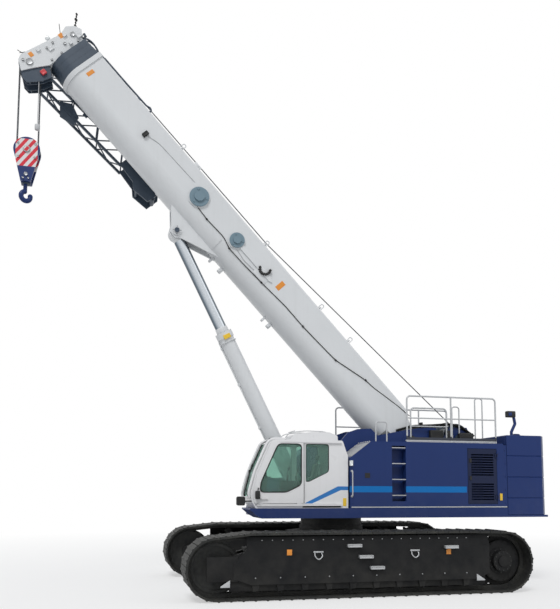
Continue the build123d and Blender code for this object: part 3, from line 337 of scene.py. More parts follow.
# name: colour, roughness from and to, scale of its grain, bump, tint of its patches, metallic
steels = {
    "castSteel": ((0.022, 0.023, 0.024), (0.5, 0.8), 12, 0.3, (2.0, 1.95, 1.7), 0.4),
    "treadGrey": ((0.46, 0.47, 0.48), (0.4, 0.6), 40, 0.3, (0.8, 0.8, 0.8), 0.5),
    "engineIron": ((0.08, 0.085, 0.09), (0.5, 0.7), 14, 0.3, (0.5, 0.5, 0.5), 0.6),
    "exhaustSteel": ((0.16, 0.14, 0.13), (0.4, 0.65), 9, 0.2, (0.5, 0.4, 0.35), 0.8),
    "boltSteel": ((0.34, 0.35, 0.36), (0.3, 0.5), 60, 0.1, (0.7, 0.7, 0.7), 0.85),
}
recipes = [(name, paint, given) for name, given in paints.items()]
recipes += [(name, bareSteel, given) for name, given in steels.items()]
recipes += [("trackPlate", trackPlate, ()), ("chromeRod", chromeRod, ()), ("wireRope", wireRope, ()),
            ("glazing", glazing, ()), ("seatCloth", seatCloth, ()), ("lampLens", lampLens, ())]
finishes = {}
for name, recipe, given in recipes:
    finishes[name], tree, shader = newMaterial(name)
    fill(tree, shader, recipe(tree, *given))

nodeFinishes = {
    "boomWhite": "boom_base boom_tip luff_barrel",
    "sectionPaint": "boom_section_2 boom_section_3 boom_section_4",
    "cabPaint": "cab_shell cab_door",
    "navyPaint": "turning_frame boom_webs housing_right counterweight_base counterweight_slabs "
                 "rear_post step_pockets fuel_tank winch_frame hook",
    "housingPaint": "housing_left",
    "slatePaint": "head_guard jib head_sheaves winch_drum_upper winch_drum_lower",
    "grillePaint": "grille_door",
    "blockPaint": "hook_block",
    "discGrey": "boom_side_fittings",
    "frameBlack": "carbody track_frame_left track_frame_right final_drive_left final_drive_right "
                  "track_steps_left track_steps_right",
    "trackPlate": "track_left track_right",
    "castSteel": "idler_left idler_right rollers_left rollers_right slew_race turntable_race "
                 "boom_foot_pin luff_foot_pin luff_piston",
    "leftRail": "handrail_left",
    "railGrey": "handrail_right",
    "chromeRod": "luff_rod",
    "engineIron": "engine_block",
    "exhaustSteel": "exhaust_stack",
    "wireRope": "hoist_falls",
    "glazing": "cab_glass cab_door_glass",
    "seatCloth": "operator_seat",
    "blackPlastic": "cab_consoles mirror_bracket",
}
for finishName, nodeNames in nodeFinishes.items():
    for nodeName in nodeNames.split():
        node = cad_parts[nodeName]
        node.data.materials.clear()
        node.data.materials.append(finishes[finishName])
print("finishes given to", len(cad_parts), "nodes")

# The slot of each finish, where a piece doesn't name its own
finishSlots = {
    "boomWhite": "white_paint", "cabPaint": "white_paint", "navyPaint": "navy_paint",
    "slatePaint": "slate_paint", "frameBlack": "frame_black", "castSteel": "race_steel",
    "boltSteel": "race_steel", "treadGrey": "step_grey", "railGrey": "step_grey",
    "orangePlate": "step_grey", "yellowPlate": "step_grey", "redPaint": "step_grey",
    "exhaustSteel": "exhaust_steel", "wireRope": "rope_steel", "seatCloth": "seat_fabric",
    "rubber": "console_plastic", "blackPlastic": "mirror_black", "lampLens": "chrome_rod",
}

# Pieces modelled here, each set against the CAD node that carries it
boomMatrix = Matrix.Translation(boomFoot) @ Matrix.Rotation(-boomTilt, 4, "Y")


def switchTo(mode):
    bpy.ops.object.mode_set(mode=mode)


def aimed(place, way, ahead="Z", up="Y"):
    # a frame at a place, with one axis along the way given
    return Matrix.Translation(place) @ way.to_track_quat(ahead, up).to_matrix().to_4x4()


def newObject(name, data):
    made = bpy.data.objects.new(name, data)
    bpy.context.scene.collection.objects.link(made)
    return made


def pickOnly(pieces):
    if bpy.context.object and bpy.context.object.mode == "EDIT":
        switchTo("OBJECT")
    bpy.ops.object.select_all(action="DESELECT")
    for piece in pieces:
        piece.select_set(True)
    bpy.context.view_layer.objects.active = pieces[0]


def insetFace(piece, normal, inset, depth):
    # sets the face that looks this way in, or raises it, inside a rim
    switchTo("EDIT")
    bpy.ops.mesh.select_mode(type="FACE")
    bpy.ops.mesh.select_all(action="DESELECT")
    switchTo("OBJECT")
    for face in piece.data.polygons:
        face.select = face.normal.dot(Vector(normal)) > 0.95
    switchTo("EDIT")
    bpy.ops.mesh.inset(thickness=inset, depth=depth)
    switchTo("OBJECT")


def bevelled(piece, width):
    if width:
        edge = piece.modifiers.new("edge", "BEVEL")
        edge.width = width
        edge.segments = 2
        edge.limit_method = "ANGLE"
        pickOnly([piece])
        bpy.ops.object.modifier_apply(modifier="edge")
    return piece


def block(low, high, bevel=0.005, face=None, inset=0.012, depth=-0.004):
    # a bevelled box between two corners, with one face set in or raised
    bpy.ops.object.select_all(action="DESELECT")
    bpy.ops.mesh.primitive_cube_add(size=1)
    piece = bpy.context.object
    switchTo("EDIT")
    bpy.ops.mesh.select_all(action="SELECT")
    bpy.ops.transform.resize(value=[abs(b - a) for a, b in zip(low, high)])
    bpy.ops.transform.translate(value=[(a + b) / 2 for a, b in zip(low, high)])
    switchTo("OBJECT")
    bevelled(piece, bevel)
    if face is not None:
        insetFace(piece, face, inset, depth)
    return piece


def drum(start, end, radius, bevel=0.003, vertices=24, rim=0.0, depth=0.0):
    # a bevelled cylinder between two points; the end face may be set in or raised
    a, b = Vector(start), Vector(end)
    bpy.ops.object.select_all(action="DESELECT")
    bpy.ops.mesh.primitive_cylinder_add(vertices=vertices, radius=radius, depth=(b - a).length)
    piece = bpy.context.object
    bevelled(piece, bevel)
    if rim:
        insetFace(piece, (0, 0, 1), rim, depth)
    piece.matrix_world = aimed((a + b) / 2, b - a)
    pickOnly([piece])
    bpy.ops.object.transform_apply(location=True, rotation=True, scale=True)
    return piece


def tube(points, radius, closed=False, sides=3):
    # a round bar or rope through a row of points
    curve = bpy.data.curves.new("route", "CURVE")
    curve.dimensions = "3D"
    curve.bevel_depth = radius
    curve.bevel_resolution = sides
    curve.use_fill_caps = not closed
    line = curve.splines.new("POLY")
    line.points.add(len(points) - 1)
    for point, place in zip(line.points, points):
        point.co = (*place, 1.0)
    line.use_cyclic_u = closed
    pickOnly([newObject("route", curve)])
    bpy.ops.object.convert(target="MESH")
    return bpy.context.object


def eased(points, bend, steps=5, closed=False):
    # each inner corner is turned on an arc that starts this far from it
    row = []
    count = len(points)
    for index, point in enumerate(points):
        here = Vector(point)
        if not closed and index in (0, count - 1):
            row.append(here)
            continue
        before, after = Vector(points[index - 1]), Vector(points[(index + 1) % count])
        reach = min(bend, (before - here).length * 0.45, (after - here).length * 0.45)
        start = here + (before - here).normalized() * reach
        stop = here + (after - here).normalized() * reach
        for step in range(steps + 1):
            part = step / steps
            row.append(start * (1 - part) ** 2 + here * 2 * part * (1 - part) + stop * part ** 2)
    return row


def copiesOf(piece, moves):
    # the piece itself, and a copy with its own mesh at each move or matrix
    pieces = [piece]
    for move in moves:
        other = newObject(piece.name, piece.data.copy())
        other.data.transform(move if isinstance(move, Matrix) else Matrix.Translation(move))
        pieces.append(other)
    return pieces


def label(low, high, rim=0.008):
    # a blank plate with a raised middle, on a face that looks to the left
    return block(low, high, 0.001, (0, 1, 0), rim, 0.0006)


def bent(points, bend, radius, sides=3):
    return tube(eased(points, bend), radius, False, sides)


def ringOfBolts(centre, reach, inner, outer, size, count, bevel=0.002, first=0):
    # bolt heads round a point in X and Z, from one Y to another
    bolts = []
    for index in range(count):
        a = radians(first + 360 * index / count)
        x, z = centre[0] + reach * cos(a), centre[1] + reach * sin(a)
        bolts.append(drum((x, inner, z), (x, outer, z), size, bevel, 6))
    return bolts


def moved(pieces, matrix):
    for piece in pieces:
        piece.data.transform(matrix)
    return pieces


def finished(name, pieces, finish, body="upperworks", slot=None, angle=35):
    # joins the parts, gives them their finish, and hangs them on their body
    slot = slot or finishSlots[finish]
    pickOnly(pieces)
    if len(pieces) > 1:
        bpy.ops.object.join()
    whole = bpy.context.object
    whole.name = name
    whole.data.name = name
    switchTo("EDIT")
    bpy.ops.mesh.select_all(action="SELECT")
    bpy.ops.mesh.normals_make_consistent(inside=False)
    switchTo("OBJECT")
    bpy.ops.object.shade_smooth_by_angle(angle=radians(angle))
    whole.data.materials.clear()
    whole.data.materials.append(finishes[finish])
    if body:
        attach(whole, body)
    return whole


def boomPiece(name, pieces, finish, body="boom"):
    # the pieces are given in the boom's own frame
    finished(name, moved(pieces, boomMatrix), finish, body)


# Cab: window seals, windscreen frame, wipers
cabGlassLook = {
    "frontWindow": [(1.19, 3.375), (1.19, 2.435), (1.545, 2.262), (2.17, 2.262), (2.155, 2.47),
                    (1.745, 3.375)],
    "rearWindow": [(1.07, 3.385), (0.51, 3.385), (0.51, 2.74), (0.99, 2.505), (1.07, 2.505)],
    "screenLine": [(1.55, 3.485), (1.925, 3.485), (2.266, 2.714), (2.392, 2.226), (2.375, 2.13)],
    "seal": 0.013, "thinSeal": 0.01, "screenSeal": 0.032, "doorFace": 1.499, "cabFace": 1.4465,
    "farFace": 0.558, "screenSides": (0.625, 1.39),
}
look = cabGlassLook
ring = eased([(x, look["doorFace"], z) for x, z in look["frontWindow"]], 0.1, 6, True)
finished("doorWindowSeal", [tube(ring, look["seal"], True)], "rubber", "cab_door")
edge = [block((1.122, 1.468, 2.012), (1.1365, 1.5, 3.398), 0.004, (0, 1, 0), 0.003, -0.002)]
finished("doorEdgeSeal", edge, "rubber", "cab_door")
ring = eased([(x, look["cabFace"], z) for x, z in look["rearWindow"]], 0.07, 6, True)
rearSeal = tube(ring, look["thinSeal"], True)
inner = eased([(x, look["farFace"], z) for x, z in look["rearWindow"]], 0.07, 6, True)
far = eased([(x, look["farFace"], z) for x, z in look["frontWindow"]], 0.1, 6, True)
finished("cabWindowSeals", [rearSeal] + [tube(row, look["seal"], True) for row in (inner, far)], "rubber")
line = eased([(x, 0, z) for x, z in look["screenLine"]], 0.24, 8)
nearY, farY = look["screenSides"][1], look["screenSides"][0]
outer = [Vector((p.x + 0.028, nearY + 0.02, p.z + 0.012)) for p in line]
outer += [Vector((p.x + 0.028, farY - 0.02, p.z + 0.012)) for p in reversed(line)]
finished("windscreenRim", [tube(outer, look["screenSeal"], True)], "cabPaint")
inner = [Vector((p.x - 0.012, nearY - 0.03, p.z)) for p in line]
inner += [Vector((p.x - 0.012, farY + 0.03, p.z)) for p in reversed(line)]
finished("windscreenSeal", [tube(inner, look["seal"], True)], "rubber")

wiperLook = {"pivots": ((2.36, 1.28, 2.14), (1.8, 1.02, 3.5)), "arm": 0.009, "blade": 0.007}
look = wiperLook
foot = Vector(look["pivots"][0])
wiper = [drum(foot - Vector((0.03, 0, 0)), foot + Vector((0.055, 0, 0)), 0.024, 0.004),
         tube([foot + Vector((0.045, 0, 0)), (2.435, 1.18, 2.36), (2.315, 0.98, 2.74)], look["arm"]),
         tube([(2.398, 1.06, 2.4), (2.3, 0.97, 2.75), (2.235, 0.93, 2.93)], look["blade"], False, 2),
         block((2.3, 0.955, 2.7), (2.335, 0.985, 2.78), 0.005)]
foot = Vector(look["pivots"][1])
wiper += [drum(foot - Vector((0, 0, 0.03)), foot + Vector((0, 0, 0.04)), 0.022, 0.004),
          tube([foot + Vector((0, 0, 0.03)), (1.92, 1.06, 3.47), (2.02, 1.12, 3.3)], look["arm"]),
          block((1.76, 0.99, 3.5), (1.86, 1.05, 3.535), 0.008)]
finished("windscreenWipers", wiper, "blackPlastic", slot="console_plastic")

# Cab: mirror, lamps, grab rail, blank labels, roof rail
cabFittings = {
    "roofRail": [(1.58, 3.5), (1.44, 3.68), (1.05, 3.735), (0.56, 3.725), (0.3, 3.62)],
    "grabRail": [(-0.045, 2.17), (-0.045, 2.76)],
    "mirrorArm": [(2.2, 1.52, 2.33), (2.24, 1.6, 2.36), (2.24, 1.6, 2.28)],
}
look = cabFittings
rails = []
for y in (0.7, 1.31):
    rails.append(bent([(x, y, z - 0.03) for x, z in look["roofRail"]], 0.12, 0.011))
for x in (1.3, 0.62):
    rails.append(tube([(x, 0.7, 3.7), (x, 1.31, 3.7)], 0.009))
finished("cabRoofRail", rails, "railGrey", slot="white_paint")
low, high = look["grabRail"]
grab = bent([(low[0], 1.498, low[1]), (low[0], 1.552, low[1]), (high[0], 1.552, high[1]),
             (high[0], 1.498, high[1])], 0.03, 0.014)
feet = [drum((x, 1.497, z), (x, 1.505, z), 0.028, 0.002) for x, z in (low, high)]
finished("entryGrabRail", [grab] + feet, "railGrey", slot="white_paint")
lamp = [block((-0.055, 1.49, 2.88), (0.02, 1.57, 3.01), 0.012, (0, 1, 0), 0.012, -0.006),
        drum((-0.02, 1.45, 2.945), (-0.02, 1.5, 2.945), 0.018, 0.003)]
finished("sideLamp", lamp, "lampLens")
mirror = [bent(look["mirrorArm"], 0.03, 0.011),
          block((2.19, 1.55, 2.1), (2.3, 1.63, 2.29), 0.022, (-1, 0, 0), 0.01, -0.004)]
finished("doorMirror", mirror, "blackPlastic", "cab_door")
finished("cabWarningPlate", [label((0.08, 1.454, 1.935), (0.165, 1.459, 2.125))], "yellowPlate")
sill = [block((0.22, 1.448, 1.905), (1.15, 1.4575, 1.958), 0.002, (0, 1, 0), 0.004, -0.001),
        block((0.33, 1.448, 1.95), (1.08, 1.4575, 1.992), 0.002, (0, 1, 0), 0.004, -0.001)]
finished("doorRail", sill, "rubber")
print("cab trim made")

# Cab: seat cushions, arm rests, levers, screen
seatLook = {
    "cushion": ((0.69, 0.77, 2.205), (1.23, 1.245, 2.33)), "puff": 0.02, "voxel": 0.006,
    "back": ((-0.24, -0.06, 0.0), (0.24, 0.06, 0.62)), "backPlace": (0.765, 1.0075, 2.36), "lean": -9,
    "head": ((-0.125, -0.045, 0.0), (0.125, 0.045, 0.155)), "headPlace": (0.668, 1.0075, 3.01),
}


def cushion(low, high, puff, place=None, lean=0.0):
    # a crowned closed pad: a rounded block, remeshed, swollen by cloth pressure, and smoothed
    inset = puff * 0.8
    piece = block([a + inset for a in low], [b - inset for b in high], 0.028)
    if place is not None:
        piece.data.transform(Matrix.Translation(place) @ Matrix.Rotation(radians(lean), 4, "Y")
                             @ Matrix.Rotation(radians(90), 4, "Z"))
    pickOnly([piece])
    grid = piece.modifiers.new("grid", "REMESH")
    grid.mode = "VOXEL"
    grid.voxel_size = seatLook["voxel"] * 2
    bpy.ops.object.modifier_apply(modifier="grid")
    before = [v.co.copy() for v in piece.data.vertices]
    cloth = piece.modifiers.new("swell", "CLOTH")
    cloth.settings.use_pressure = True
    cloth.settings.uniform_pressure_force = 4.0
    cloth.settings.effector_weights.gravity = 0.0
    cloth.settings.tension_stiffness = 20
    for step in range(1, 21):
        bpy.context.scene.frame_set(step)
    bpy.ops.object.modifier_apply(modifier="swell")
    bpy.context.scene.frame_set(1)
    for vertex, old in zip(piece.data.vertices, before):
        move = vertex.co - old
        if move.length > puff:
            vertex.co = old + move.normalized() * puff
    smooth = piece.modifiers.new("smooth", "SUBSURF")
    smooth.levels = 1
    bpy.ops.object.modifier_apply(modifier="smooth")
    return piece


look = seatLook
pads = []
for name, low, high, place in (("seatCushion", *look["cushion"], None),
                               ("seatBack", *look["back"], look["backPlace"]),
                               ("seatHeadrest", *look["head"], look["headPlace"])):
    lean = look["lean"] if place else 0
    pad = finished(name, [cushion(low, high, look["puff"], place, lean)], "seatCloth", angle=60)
    pads.append(pad)
seams = []
for y in (0.835, 1.18):
    seams.append(bent([(0.72, y, 2.334), (0.95, y, 2.342), (1.2, y, 2.332)], 0.08, 0.0045, 2))
for y in (0.86, 1.155):
    seams.append(bent([(0.838, y, 2.42), (0.795, y, 2.68), (0.738, y, 2.93)], 0.08, 0.0045, 2))
finished("seatPiping", seams, "rubber", slot="seat_fabric")
frameParts = [block((0.72, 0.86, 1.937), (1.13, 1.155, 2.02), 0.015, (0, 0, 1), 0.03, -0.006),
              block((0.78, 0.9, 2.02), (1.08, 1.115, 2.12), 0.02),
              block((0.7, 0.8, 2.12), (1.18, 1.215, 2.2), 0.018)]
for y in (0.755, 1.26):
    frameParts.append(block((0.8, y - 0.035, 2.47), (1.12, y + 0.035, 2.53), 0.018))
    frameParts.append(bent([(0.78, y, 2.22), (0.77, y, 2.48), (0.85, y, 2.49)], 0.05, 0.014))
for y in (0.95, 1.065):
    frameParts.append(tube([(0.7, y, 2.93), (0.672, y, 3.05)], 0.008))
seatBase = finished("seatBase", frameParts, "blackPlastic", slot="console_plastic")
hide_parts("operator_seat")
controls = [bent([(1.27, 1.345, 2.62), (1.26, 1.345, 2.72), (1.24, 1.345, 2.76)], 0.03, 0.013),
            drum((1.24, 1.345, 2.74), (1.235, 1.345, 2.82), 0.026, 0.008),
            bent([(1.31, 0.655, 2.66), (1.3, 0.655, 2.76), (1.28, 0.655, 2.8)], 0.03, 0.013),
            drum((1.28, 0.655, 2.78), (1.275, 0.655, 2.86), 0.026, 0.008),
            block((1.93, 0.88, 2.5), (1.97, 1.13, 2.72), 0.012, (-1, 0, 0), 0.018, -0.004),
            block((1.72, 0.8, 1.94), (1.88, 0.9, 1.99), 0.01, (0, 0, 1), 0.01, 0.004),
            block((1.72, 1.05, 1.94), (1.88, 1.15, 1.99), 0.01, (0, 0, 1), 0.01, 0.004)]
finished("cabControls", controls, "blackPlastic", slot="console_plastic")
print("cab interior made")

# Left housing: step edges, roof edge plate, latches, blank plates, sill
housingLook = {"treads": (3.33, 2.95, 2.57, 2.19), "nicheX": (-1.416, -1.064)}
look = housingLook
rear, front = look["nicheX"]
edges = [block((rear, 1.452, z - 0.01), (front, 1.502, z + 0.012), 0.003, (0, 1, 0), 0.004, 0.001)
         for z in look["treads"]]
finished("ladderTreadEdges", edges, "treadGrey")
studs = copiesOf(drum((-0.11, 0.62, 3.155), (-0.127, 0.62, 3.174), 0.016, 0.003, 10),
                 [(-0.105 * i, 0.125 * j, 0.0785 * i) for i in range(5) for j in range(7) if i or j])
chamfer = block((-0.3, 0.55, -0.004), (0.28, 1.46, 0.004), 0.002)
chamfer.data.transform(Matrix.Translation((-0.275, 0, 3.278)) @ Matrix.Rotation(radians(36.7), 4, "Y"))
finished("roofTreadPlate", [chamfer] + studs, "treadGrey")
walk = [block((-3.86, 0.62, 3.479), (-0.62, 1.4, 3.487), 0.002)]
walk += copiesOf(drum((-0.72, 0.7, 3.484), (-0.72, 0.7, 3.493), 0.014, 0.002, 8),
                 [(-0.16 * i, 0.12 * j, 0) for i in range(20) for j in range(6) if i or j])
finished("roofWalkway", walk, "treadGrey")
trim = [block((-4.11, 1.493, 1.9), (-0.03, 1.507, 1.925), 0.003, (0, 1, 0), 0.003, -0.001),
        block((-3.89, 1.425, 3.505), (-1.45, 1.45, 3.53), 0.003)]
corners = [block((-4.132, 1.43, 1.91), (-4.03, 1.497, 3.44), 0.006, (0, 1, 0), 0.012, -0.003),
           block((-4.132, -1.497, 1.91), (-4.03, -1.43, 3.44), 0.006, (0, -1, 0), 0.012, -0.003)]
finished("housingCorners", corners, "navyPaint")
finished("housingSill", trim, "railGrey")
plate = label((-3.99, 1.499, 2.07), (-3.92, 1.504, 2.24), 0.006)
finished("housingWarningPlates", [plate], "yellowPlate")
latches = [block((-3.16, 1.498, z - 0.05), (-3.1, 1.516, z + 0.05), 0.006, (0, 1, 0), 0.012, -0.005)
           for z in (2.62, 3.05)]
finished("grilleLatches", latches, "blackPlastic", "grille_door")
badge = [block((-0.5, 1.497, 2.6), (-0.37, 1.508, 2.72), 0.004, (0, 1, 0), 0.02, -0.004)]
finished("housingVent", badge, "blackPlastic")
bolts = []
for x, size, step, count in ((-4.09, 0.014, 0.33, 5), (-0.06, 0.012, 0.3, 4)):
    head = drum((x, 1.499, 2.0), (x, 1.51, 2.0), size, 0.002, 6)
    bolts += copiesOf(head, [(0, 0, step * i) for i in range(1, count)])
finished("housingBolts", bolts, "navyPaint")
print("housing trim made")

# Counterweight: lifting eyes, joint plates, lamps
eyes = []
for y in (-1.05, 1.05):
    hoop = [(-4.8, y, 3.64), (-4.8, y, 3.755), (-4.6, y, 3.755), (-4.6, y, 3.64)]
    eyes.append(bent(hoop, 0.06, 0.022))
finished("weightLiftingEyes", eyes, "navyPaint")
lamps = [block((-5.262, y - 0.15, 1.86), (-5.245, y + 0.15, 1.95), 0.006, (-1, 0, 0)) for y in (-0.85, 0.85)]
finished("rearLamps", lamps, "redPaint")

# Boom: rope guides on the top, side cable, guides, blank labels
boomLook = {
    "guides": (9.37, 6.2, 4.07, 2.94), "guideY": (0.2, -0.2), "guideHeight": 0.66, "wire": 0.012,
    "ropeStart": (6.2, 0.72), "ropeEnd": (12.3, 0.69), "cable": 0.01, "fineCable": 0.006,
    "cableRoute": [(7.96, -0.2), (7.57, -0.23), (6.97, -0.2), (6.67, -0.29), (6.24, -0.28), (5.52, -0.24),
                   (4.7, -0.17), (4.01, -0.17), (3.41, -0.14), (2.82, -0.1), (2.41, 0.02), (1.92, 0.16),
                   (1.64, 0.19), (1.26, 0.28), (0.8, 0.38), (0.46, 0.43)],
    "fineRoute": [(10.07, 0.02), (9.7, 0.13), (9.09, 0.15), (8.45, 0.17)],
}
look = boomLook
guides = []
for s in look["guides"]:
    top, bar = look["guideHeight"] + 0.06, look["guideHeight"] - 0.04
    for y in look["guideY"]:
        hoop = [(s - 0.045, y, 0.49), (s - 0.045, y, top), (s + 0.045, y, top), (s + 0.045, y, 0.49)]
        foot = block((s - 0.08, y - 0.04, 0.497), (s + 0.08, y + 0.04, 0.51), 0.004, (0, 0, 1), 0.015, 0.002)
        guides += [bent(hoop, 0.045, look["wire"]), foot]
    guides.append(drum((s, -0.2, bar), (s, 0.2, bar), 0.022, 0.004))
for y in (-0.22, 0.22):
    lug = block((8.66, y - 0.015, 0.49), (8.88, y + 0.015, 0.64), 0.03)
    guides += [lug, drum((8.77, y - 0.03, 0.585), (8.77, y + 0.03, 0.585), 0.03, 0.004)]
boomPiece("ropeGuides", guides, "boomWhite")
(s0, n0), (s1, n1) = look["ropeStart"], look["ropeEnd"]
boomPiece("hoistRopeOnBoom", [tube([(s0, 0, n0), (s1, 0, n1)], 0.013)], "wireRope")
cable = bent([(s, 0.444 if s > 1.7 else 0.434, n) for s, n in look["cableRoute"]], 0.12, look["cable"])
clips = [block((s - 0.025, 0.428, n - 0.02), (s + 0.025, 0.462, n + 0.02), 0.006)
         for s, n in look["cableRoute"][1:12:2]]
fine = bent([(s, 0.438, n) for s, n in look["fineRoute"]], 0.1, look["fineCable"])
link = tube([(6.58, 0.436, -0.15), (6.2, 0.44, -0.2), (5.87, 0.44, -0.17)], 0.007)
boomPiece("boomSideCable", [cable] + clips, "rubber")
boomPiece("boomFineCable", [fine, link], "treadGrey")
guide = []
for turn in range(-215, -29, 23):
    a = radians(turn)
    s, n = 5.71 + 0.135 * cos(a), 0.06 + 0.135 * sin(a)
    guide.append(block((s - 0.03, 0.44, n - 0.03), (s + 0.03, 0.5, n + 0.03), 0.01))
guide.append(block((10.03, 0.428, -0.07), (10.13, 0.5, 0.09), 0.014, (0, 1, 0), 0.02, -0.006))
boomPiece("cableGuide", guide, "blackPlastic")
back = block((5.44, 0.428, -0.23), (5.86, 0.442, 0.06), 0.05)
bevelled(back, 0.003)
boomPiece("guidePlate", [back], "boomWhite")
plates = [label((s - w, 0.429, n - h), (s + w, 0.434, n + h))
          for s, n, w, h in ((5.15, 0.09, 0.065, 0.125), (12.02, -0.02, 0.05, 0.1))]
boomPiece("boomBlankPlates", plates, "orangePlate")
lugs = []
for s, n, w in ((6.8, -0.665, 0.03), (6.45, -0.665, 0.054), (4.82, -0.655, 0.03), (4.6, -0.655, 0.054)):
    lugs += [block((s - w, -0.05, n - 0.11), (s + w, 0.05, n + 0.04), 0.012, (1, 0, 0), 0.02, -0.006),
             drum((s, -0.075, n - 0.075), (s, 0.075, n - 0.075), 0.028, 0.004)]
boomPiece("bellyBrackets", lugs, "boomWhite")
rod = [bent([(12.3, 0.3, 0.5), (12.24, 0.3, 0.545), (10.66, 0.3, 0.575), (10.56, 0.3, 0.62),
             (10.48, 0.3, 0.57), (10.52, 0.3, 0.51)], 0.04, 0.022)]
for s in (10.9, 11.5, 12.1):
    rod.append(block((s - 0.04, 0.26, 0.497), (s + 0.04, 0.34, 0.56), 0.008))
boomPiece("topRodAndHook", rod, "slatePaint")
print("boom trim made")

# Boom head: lamps, wind gauge, boxes, pins, rope ends
headLook = {
    "face": 0.3,
    "boxes": ((12.95, 0.42, 0.06, 0.05, 0.05), (13.14, 0.16, 0.035, 0.05, 0.04),
              (13.06, -0.33, 0.04, 0.07, 0.035), (13.2, -0.6, 0.035, 0.05, 0.04),
              (12.9, 0.14, 0.035, 0.04, 0.06)),
    "caps": ((13.1, -0.96, 0.085), (13.059, 0.33, 0.06), (13.22, -1.05, 0.03), (12.88, 0.5, 0.035),
             (12.84, -0.2, 0.028), (12.84, -0.5, 0.028), (13.16, -0.2, 0.028), (12.98, 0.02, 0.035),
             (13.13, -0.4, 0.03), (12.87, 0.33, 0.03)),
}


def pinCaps(spots, face, sunk, proud, bevel, vertices, depth):
    # round caps on both sides of the middle, each with its rim
    caps = []
    for x, z, size in spots:
        for side in (-1, 1):
            inner, outer = side * (face - sunk), side * (face + proud)
            caps.append(drum((x, inner, z), (x, outer, z), size, bevel, vertices, size * 0.3, depth))
    return caps


look = headLook
face = look["face"]
boxes = [block((s - w, face - 0.002, n - h), (s + w, face + d, n + h), 0.01, (0, 1, 0), 0.02, -0.006)
         for s, n, w, h, d in look["boxes"]]
boomPiece("headBoxes", boxes, "boomWhite", "tip")
caps = pinCaps(look["caps"], face, 0.004, 0.034, 0.006, 20, -0.006)
boomPiece("headPinCaps", caps, "boltSteel", "tip")
orange = [label((13.13, 0.299, 0.03), (13.25, 0.304, 0.14)),
          label((13.16, 0.299, -0.86), (13.28, 0.304, -0.76))]
boomPiece("headBlankPlates", orange, "orangePlate", "tip")
mast = [tube([(13.12, 0.2, 0.44), (13.46, 0.2, 0.81)], 0.012),
        block((13.06, 0.16, 0.4), (13.16, 0.24, 0.52), 0.01)]
for step, size in ((0.35, 0.03), (0.52, 0.022), (0.68, 0.034), (0.84, 0.02), (0.97, 0.026)):
    s, n = 13.12 + 0.34 * step, 0.44 + 0.37 * step
    low, high = n - size * 0.7, n + size * 0.7
    mast.append(block((s - size, 0.2 - size, low), (s + size, 0.2 + size, high), 0.008))
for start, stop, size in (((13.26, 0.26, 0.12), (13.46, 0.26, 0.26), 0.008),
                          ((13.34, 0.26, -0.92), (13.5, 0.26, -0.98), 0.008),
                          ((13.36, 0.22, -0.8), (13.44, 0.22, -0.98), 0.007)):
    mast.append(tube([start, stop], size))
boomPiece("windGauge", mast, "blackPlastic", "tip")
top = []
for y, rise in ((0.26, 0.1), (0.12, 0.15), (-0.05, 0.12), (-0.22, 0.09)):
    hose = [(12.4, y, 0.47), (12.44, y, 0.47 + rise), (12.62, y + 0.02, 0.5 + rise),
            (12.8, y, 0.47 + rise), (12.9, y, 0.42)]
    top.append(bent(hose, 0.08, 0.02))
top += [block((12.46, 0.05, 0.44), (12.6, 0.22, 0.56), 0.015),
        block((12.66, -0.2, 0.44), (12.76, 0.0, 0.54), 0.015)]
boomPiece("headTopHoses", top, "slatePaint", "tip")
lamps = [drum((13.32, y, -0.18), (13.4, y, -0.2), 0.055, 0.008, 20, 0.01, -0.012) for y in (0.2, -0.2)]
boomPiece("headLamps", lamps, "lampLens", "tip")
red = [block((12.66, 0.275, -0.93), (12.78, 0.325, -0.8), 0.014, (0, 1, 0), 0.02, -0.006)]
boomPiece("limitSwitch", red, "redPaint", "tip")
sockets = [drum((12.9, y, 0.6), (12.99, y, 0.62), 0.035, 0.006) for y in (-0.16, 0.16)]
boomPiece("ropeEndSockets", sockets, "slatePaint", "tip")

# Weight of the hoist limit switch on its two light ropes, inside the falls
limitLook = {"place": (7.409, 0.215), "top": 12.2, "bottom": 10.95}
x, y = limitLook["place"]
top, bottom = limitLook["top"], limitLook["bottom"]
hung = [tube([(x, y + aside, top), (x, y + aside, bottom + 0.05)], 0.006) for aside in (-0.03, 0.03)]
hung.append(drum((x, y, bottom - 0.07), (x, y, bottom + 0.07), 0.062, 0.02))
finished("limitWeight", hung, "railGrey", "hook", "white_paint")
print("head trim made")

# Jib: end fittings and a sheave
ends = [drum((13.145, y, n), (13.215, y, n), 0.045, 0.006, 16, 0.014, -0.008)
        for y in (-0.5, -0.99) for n in (-0.9, -0.42)]
ends.append(drum((9.03, -0.535, -0.62), (9.03, -0.955, -0.62), 0.06, 0.008))
boomPiece("jibEndFittings", ends, "slatePaint")

# Luffing cylinder: hose, pipe, clamps, blank plate
luffMatrix = aimed(luffFoot, luffAlong, "X", "Z")


def barrelPiece(name, pieces, finish):
    finished(name, moved(pieces, luffMatrix), finish, "luff_barrel")


